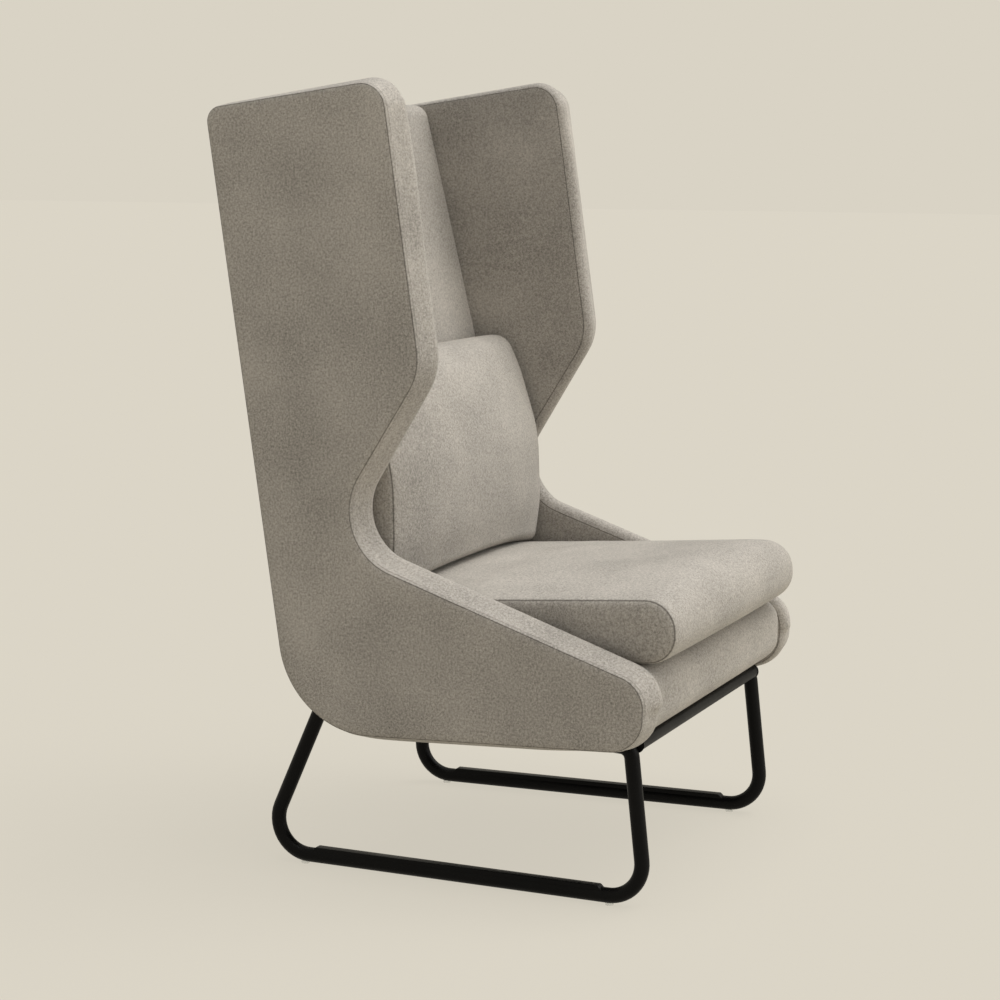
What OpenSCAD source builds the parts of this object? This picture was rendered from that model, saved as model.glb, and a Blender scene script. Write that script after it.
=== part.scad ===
// High-back lounge chair with upholstered wings on a bent-tube sled base.
// Millimetres. Z is up, the chair faces -Y, X runs across it.
// The origin is on the floor, under the middle of the chair's bounding box.

/* [Side panels] */
// Clear width between the two side panels
inner_w = 652; // [600:1:720]
// Thickness of a side panel, seam to seam
panel_t = 65; // [58:1:76]
// Lean of the wings and of the back, degrees from upright
lean = 8; // [5:0.5:11]
// Depth of a wing, square to its rear edge
wing_depth = 320; // [290:1:340]
// Height of a wing above its knee
wing_h = 460; // [400:1:520]
// Height of the knee, where the wing starts to narrow, above the arm's front
knee_rise = 475; // [440:1:500]
// Distance of the knee behind the front of the arms
knee_back = 380; // [365:1:400]
// Angle from upright of the wing's narrowing edge
wing_taper = 32.4; // [28:0.2:36]
// Height of the arm's nose
nose_h = 107; // [96:1:120]
// Rise of the arm line towards the back, degrees
arm_rise = 18.8; // [17:0.2:20.5]
// Height of the underside edge at the front above the top rail's centreline
under_lift = 12; // [10:1:22]
// Fall of the underside edge towards the back, degrees
under_fall = 2; // [1:0.1:2.6]
// Radius of the wing's top rear corner
top_rear_r = 25; // [15:1:35]
// Radius of the wing's top front corner
top_front_r = 42; // [30:1:55]
// Radius of the knee
knee_r = 95; // [60:1:120]
// Radius of the notch between wing and arm
notch_r = 103; // [85:1:115]
// Radius of the arm's nose, above
nose_top_r = 52; // [40:1:60]
// Radius of the arm's nose, below
nose_low_r = 58; // [42:1:62]
// Radius of the heel, below the back
heel_r = 158; // [130:1:170]
// How far the padded edge swells past the seam at the front
edge_swell = 16; // [10:1:20]
// How far the padded edge swells past the seam along the top
top_swell = 6; // [4:0.5:9]
// How far the padded edge swells past the seam at the rear
rear_swell = 8; // [4:0.5:10]

/* [Upholstery] */
// Thickness of the cover cloth
cloth_t = 1.6; // [1.2:0.1:2]
// Clearance between a cover and what lies under it
cloth_gap = 0.2; // [0.15:0.05:0.3]
// Thickness of the plywood in a side panel
board_t = 18; // [15:1:20]
// Thickness of the foam on the inner face of a side panel
inner_pad_t = 18; // [14:1:20]
// Foam left round the plywood's edge
edge_foam_t = 18; // [15:1:22]

/* [Back] */
// Lean of the back pad's upper face, degrees
pad_lean = 13.4; // [12:0.2:15]
// How far below the knee's height the back pad's face bends
pad_bend_drop = 2; // [0:1:30]
// Thickness of the back at that bend, measured level
back_bend_t = 109; // [100:1:118]
// Thickness of the bent plywood back
back_ply_t = 12; // [9:1:15]
// Thickness of the wadding behind it
rear_wad_t = 8; // [5:1:10]
// Radius of the back's heel, between the side panels
back_heel_r = 98; // [80:1:105]

/* [Seat] */
// Fall of the seat towards the back, degrees
seat_fall = 4.2; // [3:0.1:5]
// Height of the seat cushion's lower front edge above the arm's front
cushion_lift = 23; // [19:1:29]
// Thickness of the seat cushion at its sides
cushion_t = 106; // [95:1:115]
// How far the seat cushion stands out past the arms
cushion_out = 32; // [20:1:40]
// Radius of the seat cushion's nose
cushion_nose_r = 50; // [38:1:52]
// Crown of the seat cushion's top
cushion_crown = 18; // [8:1:24]
// Timber rail thickness along the seat's front and back
rail_t = 22; // [18:1:25]
// Timber rail width along the seat's sides
side_rail_w = 60; // [50:1:66]

/* [Lumbar cushion] */
// Height of the lumbar cushion
lumbar_h = 392; // [340:1:430]
// Greatest thickness of the lumbar cushion at its sides
lumbar_t = 98; // [80:1:105]
// Crown of its front face
lumbar_crown = 32; // [16:1:36]

/* [Sled base] */
// Diameter of the frame tube
tube_d = 25; // [22:0.5:28]
// How far the leg loops stand inside the panels' inner faces, at half their length
loop_inset = 26.6; // [23:0.1:36]
// Angle by which the loops open towards the front
loop_toe = 1.7; // [0:0.1:1.9]
// Distance behind the front of the arms of the loop's lower front corner
sled_front = 22; // [10:1:30]
// Length of the loop between its lower corners, before bending
sled_len = 707; // [680:1:730]
// Rake of the front leg, degrees from upright
front_rake = 6.2; // [4:0.1:8]
// Rake of the rear leg, degrees from upright
rear_rake = 24.3; // [22:0.1:26]
// Centreline radius of the lower bends
bend_r = 58; // [45:1:65]
// Centreline radius of the upper bends
top_bend_r = 19; // [18:0.5:24]
// Height of the top rail's centreline at the front
rail_front_h = 264; // [262:0.5:267]
// Rise of the top rail towards the back, degrees
rail_rise = 2.5; // [2:0.1:2.9]
// Rise of the flat bar that stiffens the runner
bar_rise = 3.5; // [2.5:0.5:5]
// Thickness of the glides under the runner
glide_t = 3; // [2:0.5:5]
// Diameter of the glides
glide_d = 14; // [12:0.5:18]
// Thickness of the welded mounting plates
plate_t = 4; // [3:0.5:5]

/* [Hidden] */

// Smoothness of true round surfaces, and the step of the faceted ones
$fn = 64;
arc_step = 12;
// Overrun of every cut
cut = 1;
// Clearance between pieces that meet flat
fit = 0.3;

cloth_side = [0.56, 0.53, 0.49];
cloth_front = [0.76, 0.73, 0.68];
foam_colour = [0.93, 0.88, 0.70];
timber = [0.80, 0.66, 0.47];
steel_black = [0.08, 0.08, 0.08];
zinc = [0.72, 0.73, 0.74];

half_turn = 180;
inner_x = inner_w / 2;
loop_half_w = inner_x - loop_inset;
under_front_h = rail_front_h + under_lift;
arm_front_h = under_front_h + nose_h;
knee_h = arm_front_h + knee_rise;
pad_bend_h = knee_h - pad_bend_drop;
cushion_front_h = arm_front_h + cushion_lift;
outer_x = inner_x + panel_t;
unit_x = inner_x - fit;
tube_r = tube_d / 2;

// Plane geometry. A path point is [y, z, normal y, normal z, swell].

function unit(v) = v / norm(v);
function turn_of(u, v) = u[0] * v[1] - u[1] * v[0] > 0 ? 1 : -1;

// Where the line through p with direction u meets the line through q with direction v
function meet(p, u, q, v) =
  let (d = u[0] * v[1] - u[1] * v[0], w = q - p)
  p + u * (w[0] * v[1] - w[1] * v[0]) / d;

// The centre, first angle and sweep of the round at corner b, from a to c
function round_of(a, b, c, r) =
  let (u = unit(a - b), v = unit(c - b), half = acos(u * v) / 2,
       centre = b + unit(u + v) * r / sin(half), first = b + u * r / tan(half) - centre)
  [centre, atan2(first[1], first[0]), turn_of(b - a, c - b) * (half_turn - 2 * half)];

function corner(a, b, c, r, swell = 0, step = arc_step) =
  let (k = round_of(a, b, c, r), n = max(1, ceil(abs(k[2]) / step)), s = sign(k[2]))
  [for (i = [0:n]) let (g = k[1] + k[2] * i / n)
    [k[0][0] + r * cos(g), k[0][1] + r * sin(g), s * cos(g), s * sin(g), swell]];

function corners(v, r, swell) = let (n = len(v))
  [for (i = [0:n - 1]) each corner(v[(i + n - 1) % n], v[i], v[(i + 1) % n], r[i], swell[i])];

// A path moved out by d, and by its own swell times a share
function moved(path, d, share = 0) =
  [for (p = path) [p[0] + (d + share * p[4]) * p[2], p[1] + (d + share * p[4]) * p[3]]];
function reversed(list) = [for (i = [len(list) - 1:-1:0]) list[i]];
// A flat strip that follows a path, between two distances from it
function strip(path, d0, d1) = concat(moved(path, d0), reversed(moved(path, d1)));
function path_end(p, n) = [p[0], p[1], n[0], n[1], 0];

// The side outline, from the seams, with y measured back from the front of the arms

lean_dir = [sin(lean), cos(lean)];
lean_out = [cos(lean), -sin(lean)];
arm_dir = [cos(arm_rise), sin(arm_rise)];
under_dir = [cos(under_fall), -sin(under_fall)];
nose_top = [0, arm_front_h];
nose_low = [0, under_front_h];
knee = [knee_back, knee_h];
wing_front_top = knee + lean_dir * wing_h / cos(lean);
wing_rear_top = wing_front_top + lean_out * wing_depth;
notch = meet(knee, [sin(wing_taper), -cos(wing_taper)], nose_top, arm_dir);
heel = meet(wing_rear_top, lean_dir, nose_low, under_dir);
// The swell at each corner: shares of the front's, the top's and the rear's
swell_shares = [[0, 1, 0], [0, 1.5, 0], [0.8, 0, 0], [1, 0, 0], [0.9, 0, 0], [0.4, 0, 0], [0, 0, 1]];
side_path = corners(
  [wing_rear_top, wing_front_top, knee, notch, nose_top, nose_low, heel],
  [top_rear_r, top_front_r, knee_r, notch_r, nose_top_r, nose_low_r, heel_r],
  [for (s = swell_shares) s[0] * edge_swell + s[1] * top_swell + s[2] * rear_swell]);

// The padded edge across a panel: shares of its thickness from the outer seam, and of its swell
edge_shares = [[0, 0], [0.06, 0.12], [0.3, 0.38], [0.62, 0.78], [0.88, 1], [0.965, 0.72], [1, 0]];
lining_shares = [for (i = [0, 1, 3, 4, 5, 6]) edge_shares[i]];

// The sled loop, in the plane of one loop

run_z = glide_t + tube_r;
rail_dir = [cos(rail_rise), sin(rail_rise)];
foot_front = [sled_front, run_z];
foot_rear = [sled_front + sled_len, run_z];
rail_front = foot_front + [sin(front_rake), cos(front_rake)] * (rail_front_h - run_z) / cos(front_rake);
rail_rear = meet(rail_front, rail_dir, foot_rear, [-sin(rear_rake), cos(rear_rake)]);
loop_mid = (foot_front[0] + foot_rear[0]) / 2;
function loop_x(y) = loop_half_w - (y - loop_mid) * tan(loop_toe);
// Height of the top rail's centreline, and of the seat frame's underside, at y
function rail_h(y) = rail_front[1] + (y - rail_front[0]) * tan(rail_rise);
frame_lift = (tube_r + plate_t) / cos(rail_rise);
function frame_h(y) = rail_h(y) + frame_lift;

// The seat: planes that fall towards the back

seat_dir = [cos(seat_fall), -sin(seat_fall)];
seat_up = [sin(seat_fall), cos(seat_fall)];
cushion_corner = [-cushion_out, cushion_front_h];
deck_gap = 0.4;
deck_pad_t = 12;
web_t = 2.5;
function deck_h(y, below = 0) =
  cushion_corner[1] - (y - cushion_corner[0]) * tan(seat_fall) - (deck_gap + below) / cos(seat_fall);
web_top = cloth_t + cloth_gap + deck_pad_t;
rail_top = web_top + cloth_gap + web_t;

// The back unit: its outline, and the back pad's face

back_proud = 3;
pad_top_r = 28;
pad_bend_r = 260;
pad_dir = [sin(pad_lean), cos(pad_lean)];
top_edge = wing_rear_top + lean_dir * back_proud;
back_edge = wing_rear_top + lean_out * back_proud;
back_top = meet(top_edge, lean_out, back_edge, lean_dir);
bend_rear = back_edge + lean_dir * (pad_bend_h - back_edge[1]) / cos(lean);
pad_bend = bend_rear - [back_bend_t, 0];
pad_top = meet(pad_bend, pad_dir, top_edge, lean_out);
pad_foot = meet(pad_bend, lean_dir, cushion_corner, seat_dir);
back_heel = meet(back_edge, lean_dir, [0, frame_h(0)], rail_dir);
dust_t = 1.5;
back_under_y = pad_foot[0] + 2 * fit + (back_ply_t + rear_wad_t + 2 * cloth_t) * tan(rail_rise);
back_under = back_heel + rail_dir * (back_under_y - back_heel[0]) / cos(rail_rise);
top_mid = (back_top + pad_top) / 2;
rear_path = concat(
  [path_end(back_under, [rail_dir[1], -rail_dir[0]])],
  corner(back_under, back_heel, back_top, back_heel_r, step = 6),
  corner(back_heel, back_top, pad_top, top_rear_r),
  [path_end(top_mid, lean_dir)]);
pad_path = concat(
  [path_end(top_mid - lean_out * fit, lean_dir)],
  corner(back_top, pad_top, pad_bend, pad_top_r),
  corner(pad_top, pad_bend, pad_foot, pad_bend_r, step = 2),
  [path_end(pad_foot, [-lean_dir[1], lean_dir[0]])]);

wad_in = cloth_t + cloth_gap;
ply_in = wad_in + rear_wad_t + cloth_gap;
ply_front = ply_in + back_ply_t;
stile_deep = 22;
stile_w = 40;
stile_lift = 60;
stile_drop = 69;
top_rail_h = 30;
stile_low = pad_foot[1] + stile_lift;
stile_top = back_top[1] - stile_drop;

// The front roll, between the arms' noses

roll_top_r = 40;
roll_low_r = 45;
roll_rear = 45;
roll_lap = 40;
roll_under = 8;
roll_low_h = frame_h(0) + roll_under;
roll_top_rear = [roll_rear + roll_lap, deck_h(roll_rear + roll_lap)];
roll_top = meet(roll_top_rear, seat_dir, [0, 0], [0, 1]);
roll_low = [0, roll_low_h];
roll_low_rear = [roll_rear, roll_low_h];
roll_path = concat(
  [path_end(roll_top_rear, seat_up)],
  corner(roll_top_rear, roll_top, roll_low, roll_top_r),
  corner(roll_top, roll_low, roll_low_rear, roll_low_r - cut),
  [path_end(roll_low_rear, [0, -1])]);

// The timber seat frame's front, rear and rear rail
frame_front = roll_rear + fit;
frame_rear = pad_foot[0] - fit;
rear_rail_y = frame_rear - rail_t;

// The cushions: outlines in their own planes, as [along, up]

cushion_back_gap = 3;
cushion_len = (pad_foot[0] - cushion_corner[0]) / cos(seat_fall) - cushion_back_gap;
cushion_rear_r = 18;
cushion_nose_out = 8;
cushion_pull = 4;
cushion_clear = 10;
cushion_x = inner_x - cushion_clear;
cushion_path = corners(
  [[0, 0], [cushion_len, 0], [cushion_len, cushion_t], [0, cushion_t]],
  [cushion_nose_r, cushion_rear_r, cushion_rear_r, cushion_nose_r], [0, 0, 0, 0]);

// The lumbar cushion's front: shares of its thickness and of its height
lumbar_shares = [[0.62, 0], [0.89, 0.19], [1, 0.55], [0.71, 1]];
lumbar_rs = [20, 300, 340, 38];
lumbar_rear_r = 16;
lumbar_top_out = 7;
lumbar_pull = 5;
lumbar_gap = 0.6;
seat_top_corner = cushion_corner + seat_up * (cushion_t + lumbar_gap);
lumbar_foot = meet(seat_top_corner, seat_dir, pad_bend - [lumbar_gap, 0], lean_dir);
// Height over which the lumbar cushion's foot stops following the seat's crown
foot_fade = 130;
// Fall of the seat's top as the lumbar cushion's own plane sees it
foot_fall = tan(lean - seat_fall);
lumbar_path = corners(
  concat([[0, 0]], [[0, lumbar_h]],
    [for (i = [3:-1:0]) [-lumbar_shares[i][0] * lumbar_t,
      i == 0 ? -lumbar_shares[0][0] * lumbar_t * foot_fall : lumbar_shares[i][1] * lumbar_h]]),
  [lumbar_rear_r, lumbar_rear_r, lumbar_rs[3], lumbar_rs[2], lumbar_rs[1], lumbar_rs[0]],
  [0, 0, 0, 0, 0, 0]);

// Across a cushion: shares of its half width, where its rings lie
across_shares = [-1, -0.94, -0.82, -0.62, -0.32, 0, 0.32, 0.62, 0.82, 0.94, 1];
function crown_at(s) = 1 - pow(abs(s), 2.6);
// A cushion's side: shares of its outline and of the bulge
side_bulge = 7;
side_shares = [[0.86, 0.66], [0.55, 1]];
seam_in = 0.6;

// The whole chair is centred on its bounding box
front_y = min([for (p = moved(cushion_path, 0)) cushion_place(p)[0]]) - cushion_nose_out * seat_dir[0];
rear_y = max([for (p = moved(side_path, 0, 1)) p[0]]);
shift_y = -(front_y + rear_y) / 2;

function cushion_place(p) = cushion_corner + seat_dir * p[0] + seat_up * p[1];
function lumbar_place(p) = lumbar_foot + lean_out * p[0] + lean_dir * p[1];

// Helpers that draw

module placed() {
  translate([0, shift_y, 0]) children();
}

module left_side() {
  placed() children();
}

module right_side() {
  placed() mirror([1, 0, 0]) children();
}

// A flat shape in the side plane, given a width from x0 to x1
module slab(x0, x1) {
  translate([x0, 0, 0]) rotate([90, 0, 90]) linear_extrude(x1 - x0) children();
}

module slab_of(points, x0, x1) {
  slab(x0, x1) polygon(points);
}

// A rod along X
module rod(y, z, r, x0, x1) {
  translate([x0, y, z]) rotate([0, 90, 0]) cylinder(r = r, h = x1 - x0);
}

// Two triangles between neighbouring rings. What lines a skin splits its quads as the skin's inside does.
function quad(a, b, step, lines_a_skin) = lines_a_skin
  ? [[a, a + step, b], [b, a + step, b + step]]
  : [[a, a + step, b + step], [a, b + step, b]];

function mean_of(ring) = [for (k = [0:2]) [for (p = ring) p[k]] * [for (p = ring) 1] / len(ring)];

// A solid through rings of equal length, each end capped by a fan from its middle
module fanned(rings) {
  n = len(rings[0]);
  last = (len(rings) - 1) * n;
  mid = len(rings) * n;
  polyhedron(
    points = concat([for (ring = rings) each ring], [mean_of(rings[0]), mean_of(rings[len(rings) - 1])]),
    faces = concat(
      [for (i = [0:n - 1]) [i, (i + 1) % n, mid]],
      [for (i = [0:n - 1]) [last + (i + 1) % n, last + i, mid + 1]],
      [for (j = [0:len(rings) - 2], i = [0:n - 1])
        each quad(j * n + i, j * n + (i + 1) % n, n, true)]));
}

// A solid through rings that close on themselves both ways
module hoop(rings, lines_a_skin = false) {
  n = len(rings[0]);
  m = len(rings);
  polyhedron(
    points = [for (ring = rings) each ring],
    faces = [for (j = [0:m - 1], i = [0:n - 1])
      each quad(j * n + i, j * n + (i + 1) % n, ((j + 1) % m) * n - j * n, lines_a_skin)]);
}

// Side panels. X runs from the inner face to the outer face.

function panel_ring(x, d, share) = [for (p = moved(side_path, d, share)) [x, p[0], p[1]]];
function clamp(v, low, high) = min(high, max(low, v));
// X of a share of the panel's thickness, kept a margin inside both faces
function panel_x(share, margin) = outer_x - clamp(share * panel_t, margin, panel_t - margin);

panel_in = cloth_t + cloth_gap;
inner_pad_x = inner_x + panel_in;
board_x = inner_pad_x + inner_pad_t + cloth_gap;
pocket_x = board_x + board_t + cloth_gap;
panel_hole_r = 5;

// Places of the bolts that hold a side panel to the seat rail and the back stile
seat_bolt_shares = [0.14, 0.53, 0.89];
back_bolt_in = [140, -85];
seat_bolt_ys = [for (s = seat_bolt_shares) frame_front + s * (frame_rear - frame_front)];
back_bolt_hs = [stile_low + back_bolt_in[0], stile_top + back_bolt_in[1]];
function seat_bolt(y) = [y, (frame_h(y) + deck_h(y, rail_top)) / 2];
function back_bolt(h) =
  let (p = back_edge + lean_dir * (h - back_edge[1]) / cos(lean))
  p - lean_out * (ply_front + stile_deep / 2);
panel_bolts_at = concat([for (y = seat_bolt_ys) seat_bolt(y)], [for (h = back_bolt_hs) back_bolt(h)]);

module at_panel_bolts() {
  for (p = panel_bolts_at) translate([0, p[0], p[1]]) rotate([0, 90, 0]) children();
}

module side_board() {
  color(timber) difference() {
    slab_of(moved(side_path, pad_edge), board_x, board_x + board_t);
    at_panel_bolts() translate([0, 0, board_x - cut]) cylinder(r = insert_r, h = board_t + 2 * cut);
  }
}

pad_edge = -edge_foam_t - panel_in - cloth_gap;

module edge_foam() {
  n = len(side_path);
  loops = concat(
    [for (s = lining_shares) panel_ring(panel_x(s[0], panel_in), -panel_in, s[1])],
    [panel_ring(inner_pad_x, pad_edge + cloth_gap, 0), panel_ring(outer_x - panel_in, pad_edge + cloth_gap, 0)]);
  color(foam_colour) hoop([for (i = [0:n - 1]) [for (loop = loops) loop[i]]], true);
}

module outer_pad() {
  color(foam_colour) slab_of(moved(side_path, pad_edge), pocket_x, outer_x - panel_in);
}

module inner_pad() {
  color(foam_colour) difference() {
    slab_of(moved(side_path, pad_edge), inner_pad_x, inner_pad_x + inner_pad_t);
    at_panel_bolts() translate([0, 0, inner_pad_x - cut]) cylinder(r = panel_hole_r, h = inner_pad_t + 2 * cut);
  }
}

module edge_band() {
  n = len(side_path);
  skin = [for (s = edge_shares) panel_ring(panel_x(s[0], 0), 0, s[1])];
  lining = [for (s = reversed(lining_shares)) panel_ring(panel_x(s[0], cloth_t), -cloth_t, s[1])];
  loops = concat(skin, lining);
  color(cloth_front) hoop([for (i = [0:n - 1]) [for (loop = loops) loop[i]]]);
}

module face_cover(x, holed) {
  color(cloth_side) difference() {
    slab_of(moved(side_path, -cloth_t - cloth_gap), x, x + cloth_t);
    if (holed) at_panel_bolts() translate([0, 0, x - cut]) cylinder(r = panel_hole_r, h = cloth_t + 2 * cut);
  }
}

// Fasteners

bolt_r = 4;
bolt_head_r = 6.5;
bolt_head_h = 5;
head_recess = 6;
thread_fit = 0.05;
insert_r = 6;
insert_len = 14;
bolt_hole_r = 4.5;
washer_r = 8;
washer_t = 1.5;

module bolt(len) {
  translate([0, 0, -bolt_head_h]) cylinder(r = bolt_head_r, h = bolt_head_h);
  cylinder(r = bolt_r, h = len);
}

module insert(len) {
  difference() {
    cylinder(r = insert_r - thread_fit, h = len);
    translate([0, 0, -cut]) cylinder(r = bolt_r + thread_fit, h = len + 2 * cut);
  }
}

rail_inner_x = unit_x - side_rail_w;
stile_inner_x = unit_x - stile_w;

module panel_bolts_one_side() {
  reach = board_x + board_t - cut;
  for (i = [0:len(panel_bolts_at) - 1]) {
    p = panel_bolts_at[i];
    from = i < len(seat_bolt_ys) ? rail_inner_x : stile_inner_x + head_recess;
    translate([from, p[0], p[1]]) rotate([0, 90, 0]) bolt(reach - from);
  }
}

module panel_bolts() {
  color(zinc) {
    left_side() panel_bolts_one_side();
    right_side() panel_bolts_one_side();
  }
}

module panel_inserts_one_side() {
  at_panel_bolts() translate([0, 0, board_x]) insert(board_t);
}

module panel_inserts() {
  color(zinc) {
    left_side() panel_inserts_one_side();
    right_side() panel_inserts_one_side();
  }
}

// Sled base

module loop_place() {
  translate([loop_half_w, loop_mid, 0]) rotate([0, 0, loop_toe]) translate([0, -loop_mid, 0]) children();
}

module tube_run(p, q, r = tube_r) {
  d = q - p;
  translate([0, p[0], p[1]]) rotate([-atan2(d[0], d[1]), 0, 0]) cylinder(r = r, h = norm(d));
}

function bend_end(a, b, c, r, share) = let (k = round_of(a, b, c, r), g = k[1] + k[2] * share)
  k[0] + r * [cos(g), sin(g)];

// Corners of the loop in order, so that every bend turns the same way
loop_corners = [rail_front, foot_front, foot_rear, rail_rear];
loop_rs = [top_bend_r, bend_r, bend_r, top_bend_r];
function loop_corner(i) = loop_corners[(i + 4) % 4];
function loop_bend_end(i, share) =
  bend_end(loop_corner(i - 1), loop_corner(i), loop_corner(i + 1), loop_rs[i % 4], share);
run_front = loop_bend_end(1, 1);
run_rear = loop_bend_end(2, 0);
glide_inset = 2;
glide_ys = [run_front[0] - glide_inset, run_rear[0] + glide_d / 2];
tube_sides = 24;

module loop_solid() {
  path = corners(loop_corners, loop_rs, [0, 0, 0, 0]);
  hoop([for (p = path) [for (i = [0:tube_sides - 1])
    let (g = 360 * i / tube_sides, d = tube_r * cos(g))
    [-tube_r * sin(g), p[0] + d * p[2], p[1] + d * p[3]]]]);
}

module leg_loop() {
  color(steel_black) loop_place() loop_solid();
}

module glides_one_side() {
  loop_place() for (y = glide_ys) difference() {
    translate([0, y, 0]) cylinder(r = glide_d / 2, h = glide_t + cut);
    tube_run([y - glide_d, run_z], [y + glide_d, run_z]);
  }
}

module glides() {
  color([0.85, 0.87, 0.88, 0.6]) {
    left_side() glides_one_side();
    right_side() glides_one_side();
  }
}

bar_w = 18;
bar_slope = 10;
bar_end = 4;

module runner_bar() {
  top = run_z + tube_r + bar_rise;
  low = run_z + tube_r / 2;
  y0 = run_front[0] + bar_end;
  y1 = run_rear[0] - bar_end;
  color(steel_black) loop_place() difference() {
    slab_of([[y0, low], [y1, low], [y1 - bar_slope, top], [y0 + bar_slope, top]], -bar_w / 2, bar_w / 2);
    tube_run(run_front - [bar_end, 0], run_rear + [bar_end, 0]);
  }
}

cross_rear_in = 48;
rear_cross_back = frame_rear - cross_rear_in;
// Place of the front cross tube beside the loop's upper corner
cross_front = rail_front + [-5, 3.5];
cope_reach = 9;
cope_shares = [0.25, 0.5, 0.75];
weld_gap = 0.6;

// The part of a loop that a cross tube is coped against
module cope() {
  rail = [loop_bend_end(3, 1), loop_bend_end(0, 0)];
  leg = [loop_bend_end(1, 0), loop_bend_end(0, 1)];
  for (run = [rail, leg]) tube_run(run[0], run[1] + unit(run[1] - run[0]) * cope_reach, tube_r + weld_gap);
  for (share = cope_shares) {
    mid = loop_bend_end(0, share);
    translate([0, mid[0], mid[1]]) sphere(r = tube_r + 2 * weld_gap);
  }
}

module cross_tube(p) {
  x = loop_x(p[0]);
  color(steel_black) placed() difference() {
    rod(p[0], p[1], tube_r, -x, x);
    loop_place() cope();
    mirror([1, 0, 0]) loop_place() cope();
  }
}

// The top rail's own plane: y runs along the rail, z stands square to it
module on_rail(y) {
  translate([0, y, rail_h(y)]) rotate([rail_rise, 0, 0]) children();
}

plate_in_rear = 124;
plate_in_front = 105;
plate_ys = [frame_front + plate_in_front, frame_rear - plate_in_rear];
plate_len = 70;
plate_over = 15;
plate_in = 38;
bolt_step = 40;
bolt_in = 25;
function plate_x0(y) = loop_x(y) - plate_in;
function plate_x1(y) = loop_x(y) + plate_over;
function bolt_x(y) = loop_x(y) - bolt_in;

module at_base_bolts() {
  for (y = plate_ys, s = [-1, 1]) on_rail(y) translate([bolt_x(y), s * bolt_step / 2, tube_r]) children();
}

module plates_one_side() {
  difference() {
    for (y = plate_ys) on_rail(y) translate([plate_x0(y), -plate_len / 2, tube_r])
      cube([plate_x1(y) - plate_x0(y), plate_len, plate_t]);
    at_base_bolts() translate([0, 0, -cut]) cylinder(r = bolt_hole_r, h = plate_t + 2 * cut);
  }
}

module mounting_plates() {
  color(steel_black) {
    left_side() plates_one_side();
    right_side() plates_one_side();
  }
}

module bolts_one_side() {
  at_base_bolts() translate([0, 0, -washer_t]) bolt(washer_t + plate_t + insert_len);
}

module base_bolts() {
  color(zinc) {
    left_side() bolts_one_side();
    right_side() bolts_one_side();
  }
}

module washers_one_side() {
  at_base_bolts() translate([0, 0, -washer_t]) difference() {
    cylinder(r = washer_r, h = washer_t);
    translate([0, 0, -cut]) cylinder(r = bolt_r + thread_fit, h = washer_t + 2 * cut);
  }
}

module bolt_washers() {
  color(zinc) {
    left_side() washers_one_side();
    right_side() washers_one_side();
  }
}

module inserts_one_side() {
  at_base_bolts() translate([0, 0, plate_t]) insert(insert_len);
}

module base_inserts() {
  color(zinc) {
    left_side() inserts_one_side();
    right_side() inserts_one_side();
  }
}

// Seat frame

function frame_side(y0, y1) = [
  [y0, frame_h(y0)], [y1, frame_h(y1)], [y1, deck_h(y1, rail_top)], [y0, deck_h(y0, rail_top)]];

module seat_rail() {
  color(timber) difference() {
    slab_of(frame_side(frame_front, frame_rear), rail_inner_x, unit_x);
    at_panel_bolts() translate([0, 0, rail_inner_x - cut]) cylinder(r = bolt_hole_r, h = side_rail_w + 2 * cut);
    at_base_bolts() translate([0, 0, plate_t - cut]) cylinder(r = insert_r, h = insert_len + 2 * cut);
  }
}

module cross_rail(y) {
  color(timber) placed()
    slab_of(frame_side(y, y + rail_t), -rail_inner_x, rail_inner_x);
}

web_w = 55;
web_count = 5;

module webbing() {
  pitch = 2 * rail_inner_x / web_count;
  path = [[frame_front, deck_h(frame_front, web_top + cloth_gap)], [frame_rear, deck_h(frame_rear, web_top + cloth_gap)],
    [frame_rear, deck_h(frame_rear, rail_top)], [frame_front, deck_h(frame_front, rail_top)]];
  color([0.2, 0.2, 0.2]) placed()
    for (i = [0:web_count - 1])
      let (x = (i - (web_count - 1) / 2) * pitch)
      slab_of(path, x - web_w / 2, x + web_w / 2);
}

function deck_sheet(y0, y1, top, low) = [
  [y0, deck_h(y0, top)], [y1, deck_h(y1, top)], [y1, deck_h(y1, low)], [y0, deck_h(y0, low)]];

module deck_pad() {
  color(foam_colour) placed()
    slab_of(deck_sheet(roll_top_rear[0] + fit, frame_rear, cloth_t + cloth_gap, web_top), -unit_x, unit_x);
}

module deck_cover() {
  color(cloth_side) placed()
    slab_of(deck_sheet(roll_top_rear[0] + fit, frame_rear, 0, cloth_t), -unit_x, unit_x);
}

module front_roll_foam() {
  under = cloth_t + cloth_gap;
  seat = frame_front - fit;
  points = concat(moved(roll_path, -under),
    [[seat, deck_h(seat, web_top)], [roll_top_rear[0], deck_h(roll_top_rear[0], web_top)]]);
  color(foam_colour) placed() slab_of(points, -unit_x, unit_x);
}

module front_roll_cover() {
  color(cloth_front) placed() slab_of(strip(roll_path, 0, -cloth_t), -unit_x, unit_x);
}

module dust_cover() {
  y0 = cross_front[0] + tube_r + cut;
  y1 = back_under[0] - cut;
  low = dust_t + fit;
  color([0.12, 0.12, 0.12]) placed() difference() {
    slab_of([[y0, frame_h(y0) - fit], [y0, frame_h(y0) - low], [y1, frame_h(y1) - low],
      [y1, frame_h(y1) - fit]], -unit_x, unit_x);
    for (s = [0, 1]) mirror([s, 0, 0]) for (y = plate_ys) on_rail(y)
      translate([plate_x0(y) - fit, -plate_len / 2 - fit, tube_r - cut])
        cube([plate_x1(y) - plate_x0(y) + 2 * fit, plate_len + 2 * fit, plate_t + 2 * cut]);
  }
}

// Back unit

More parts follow.
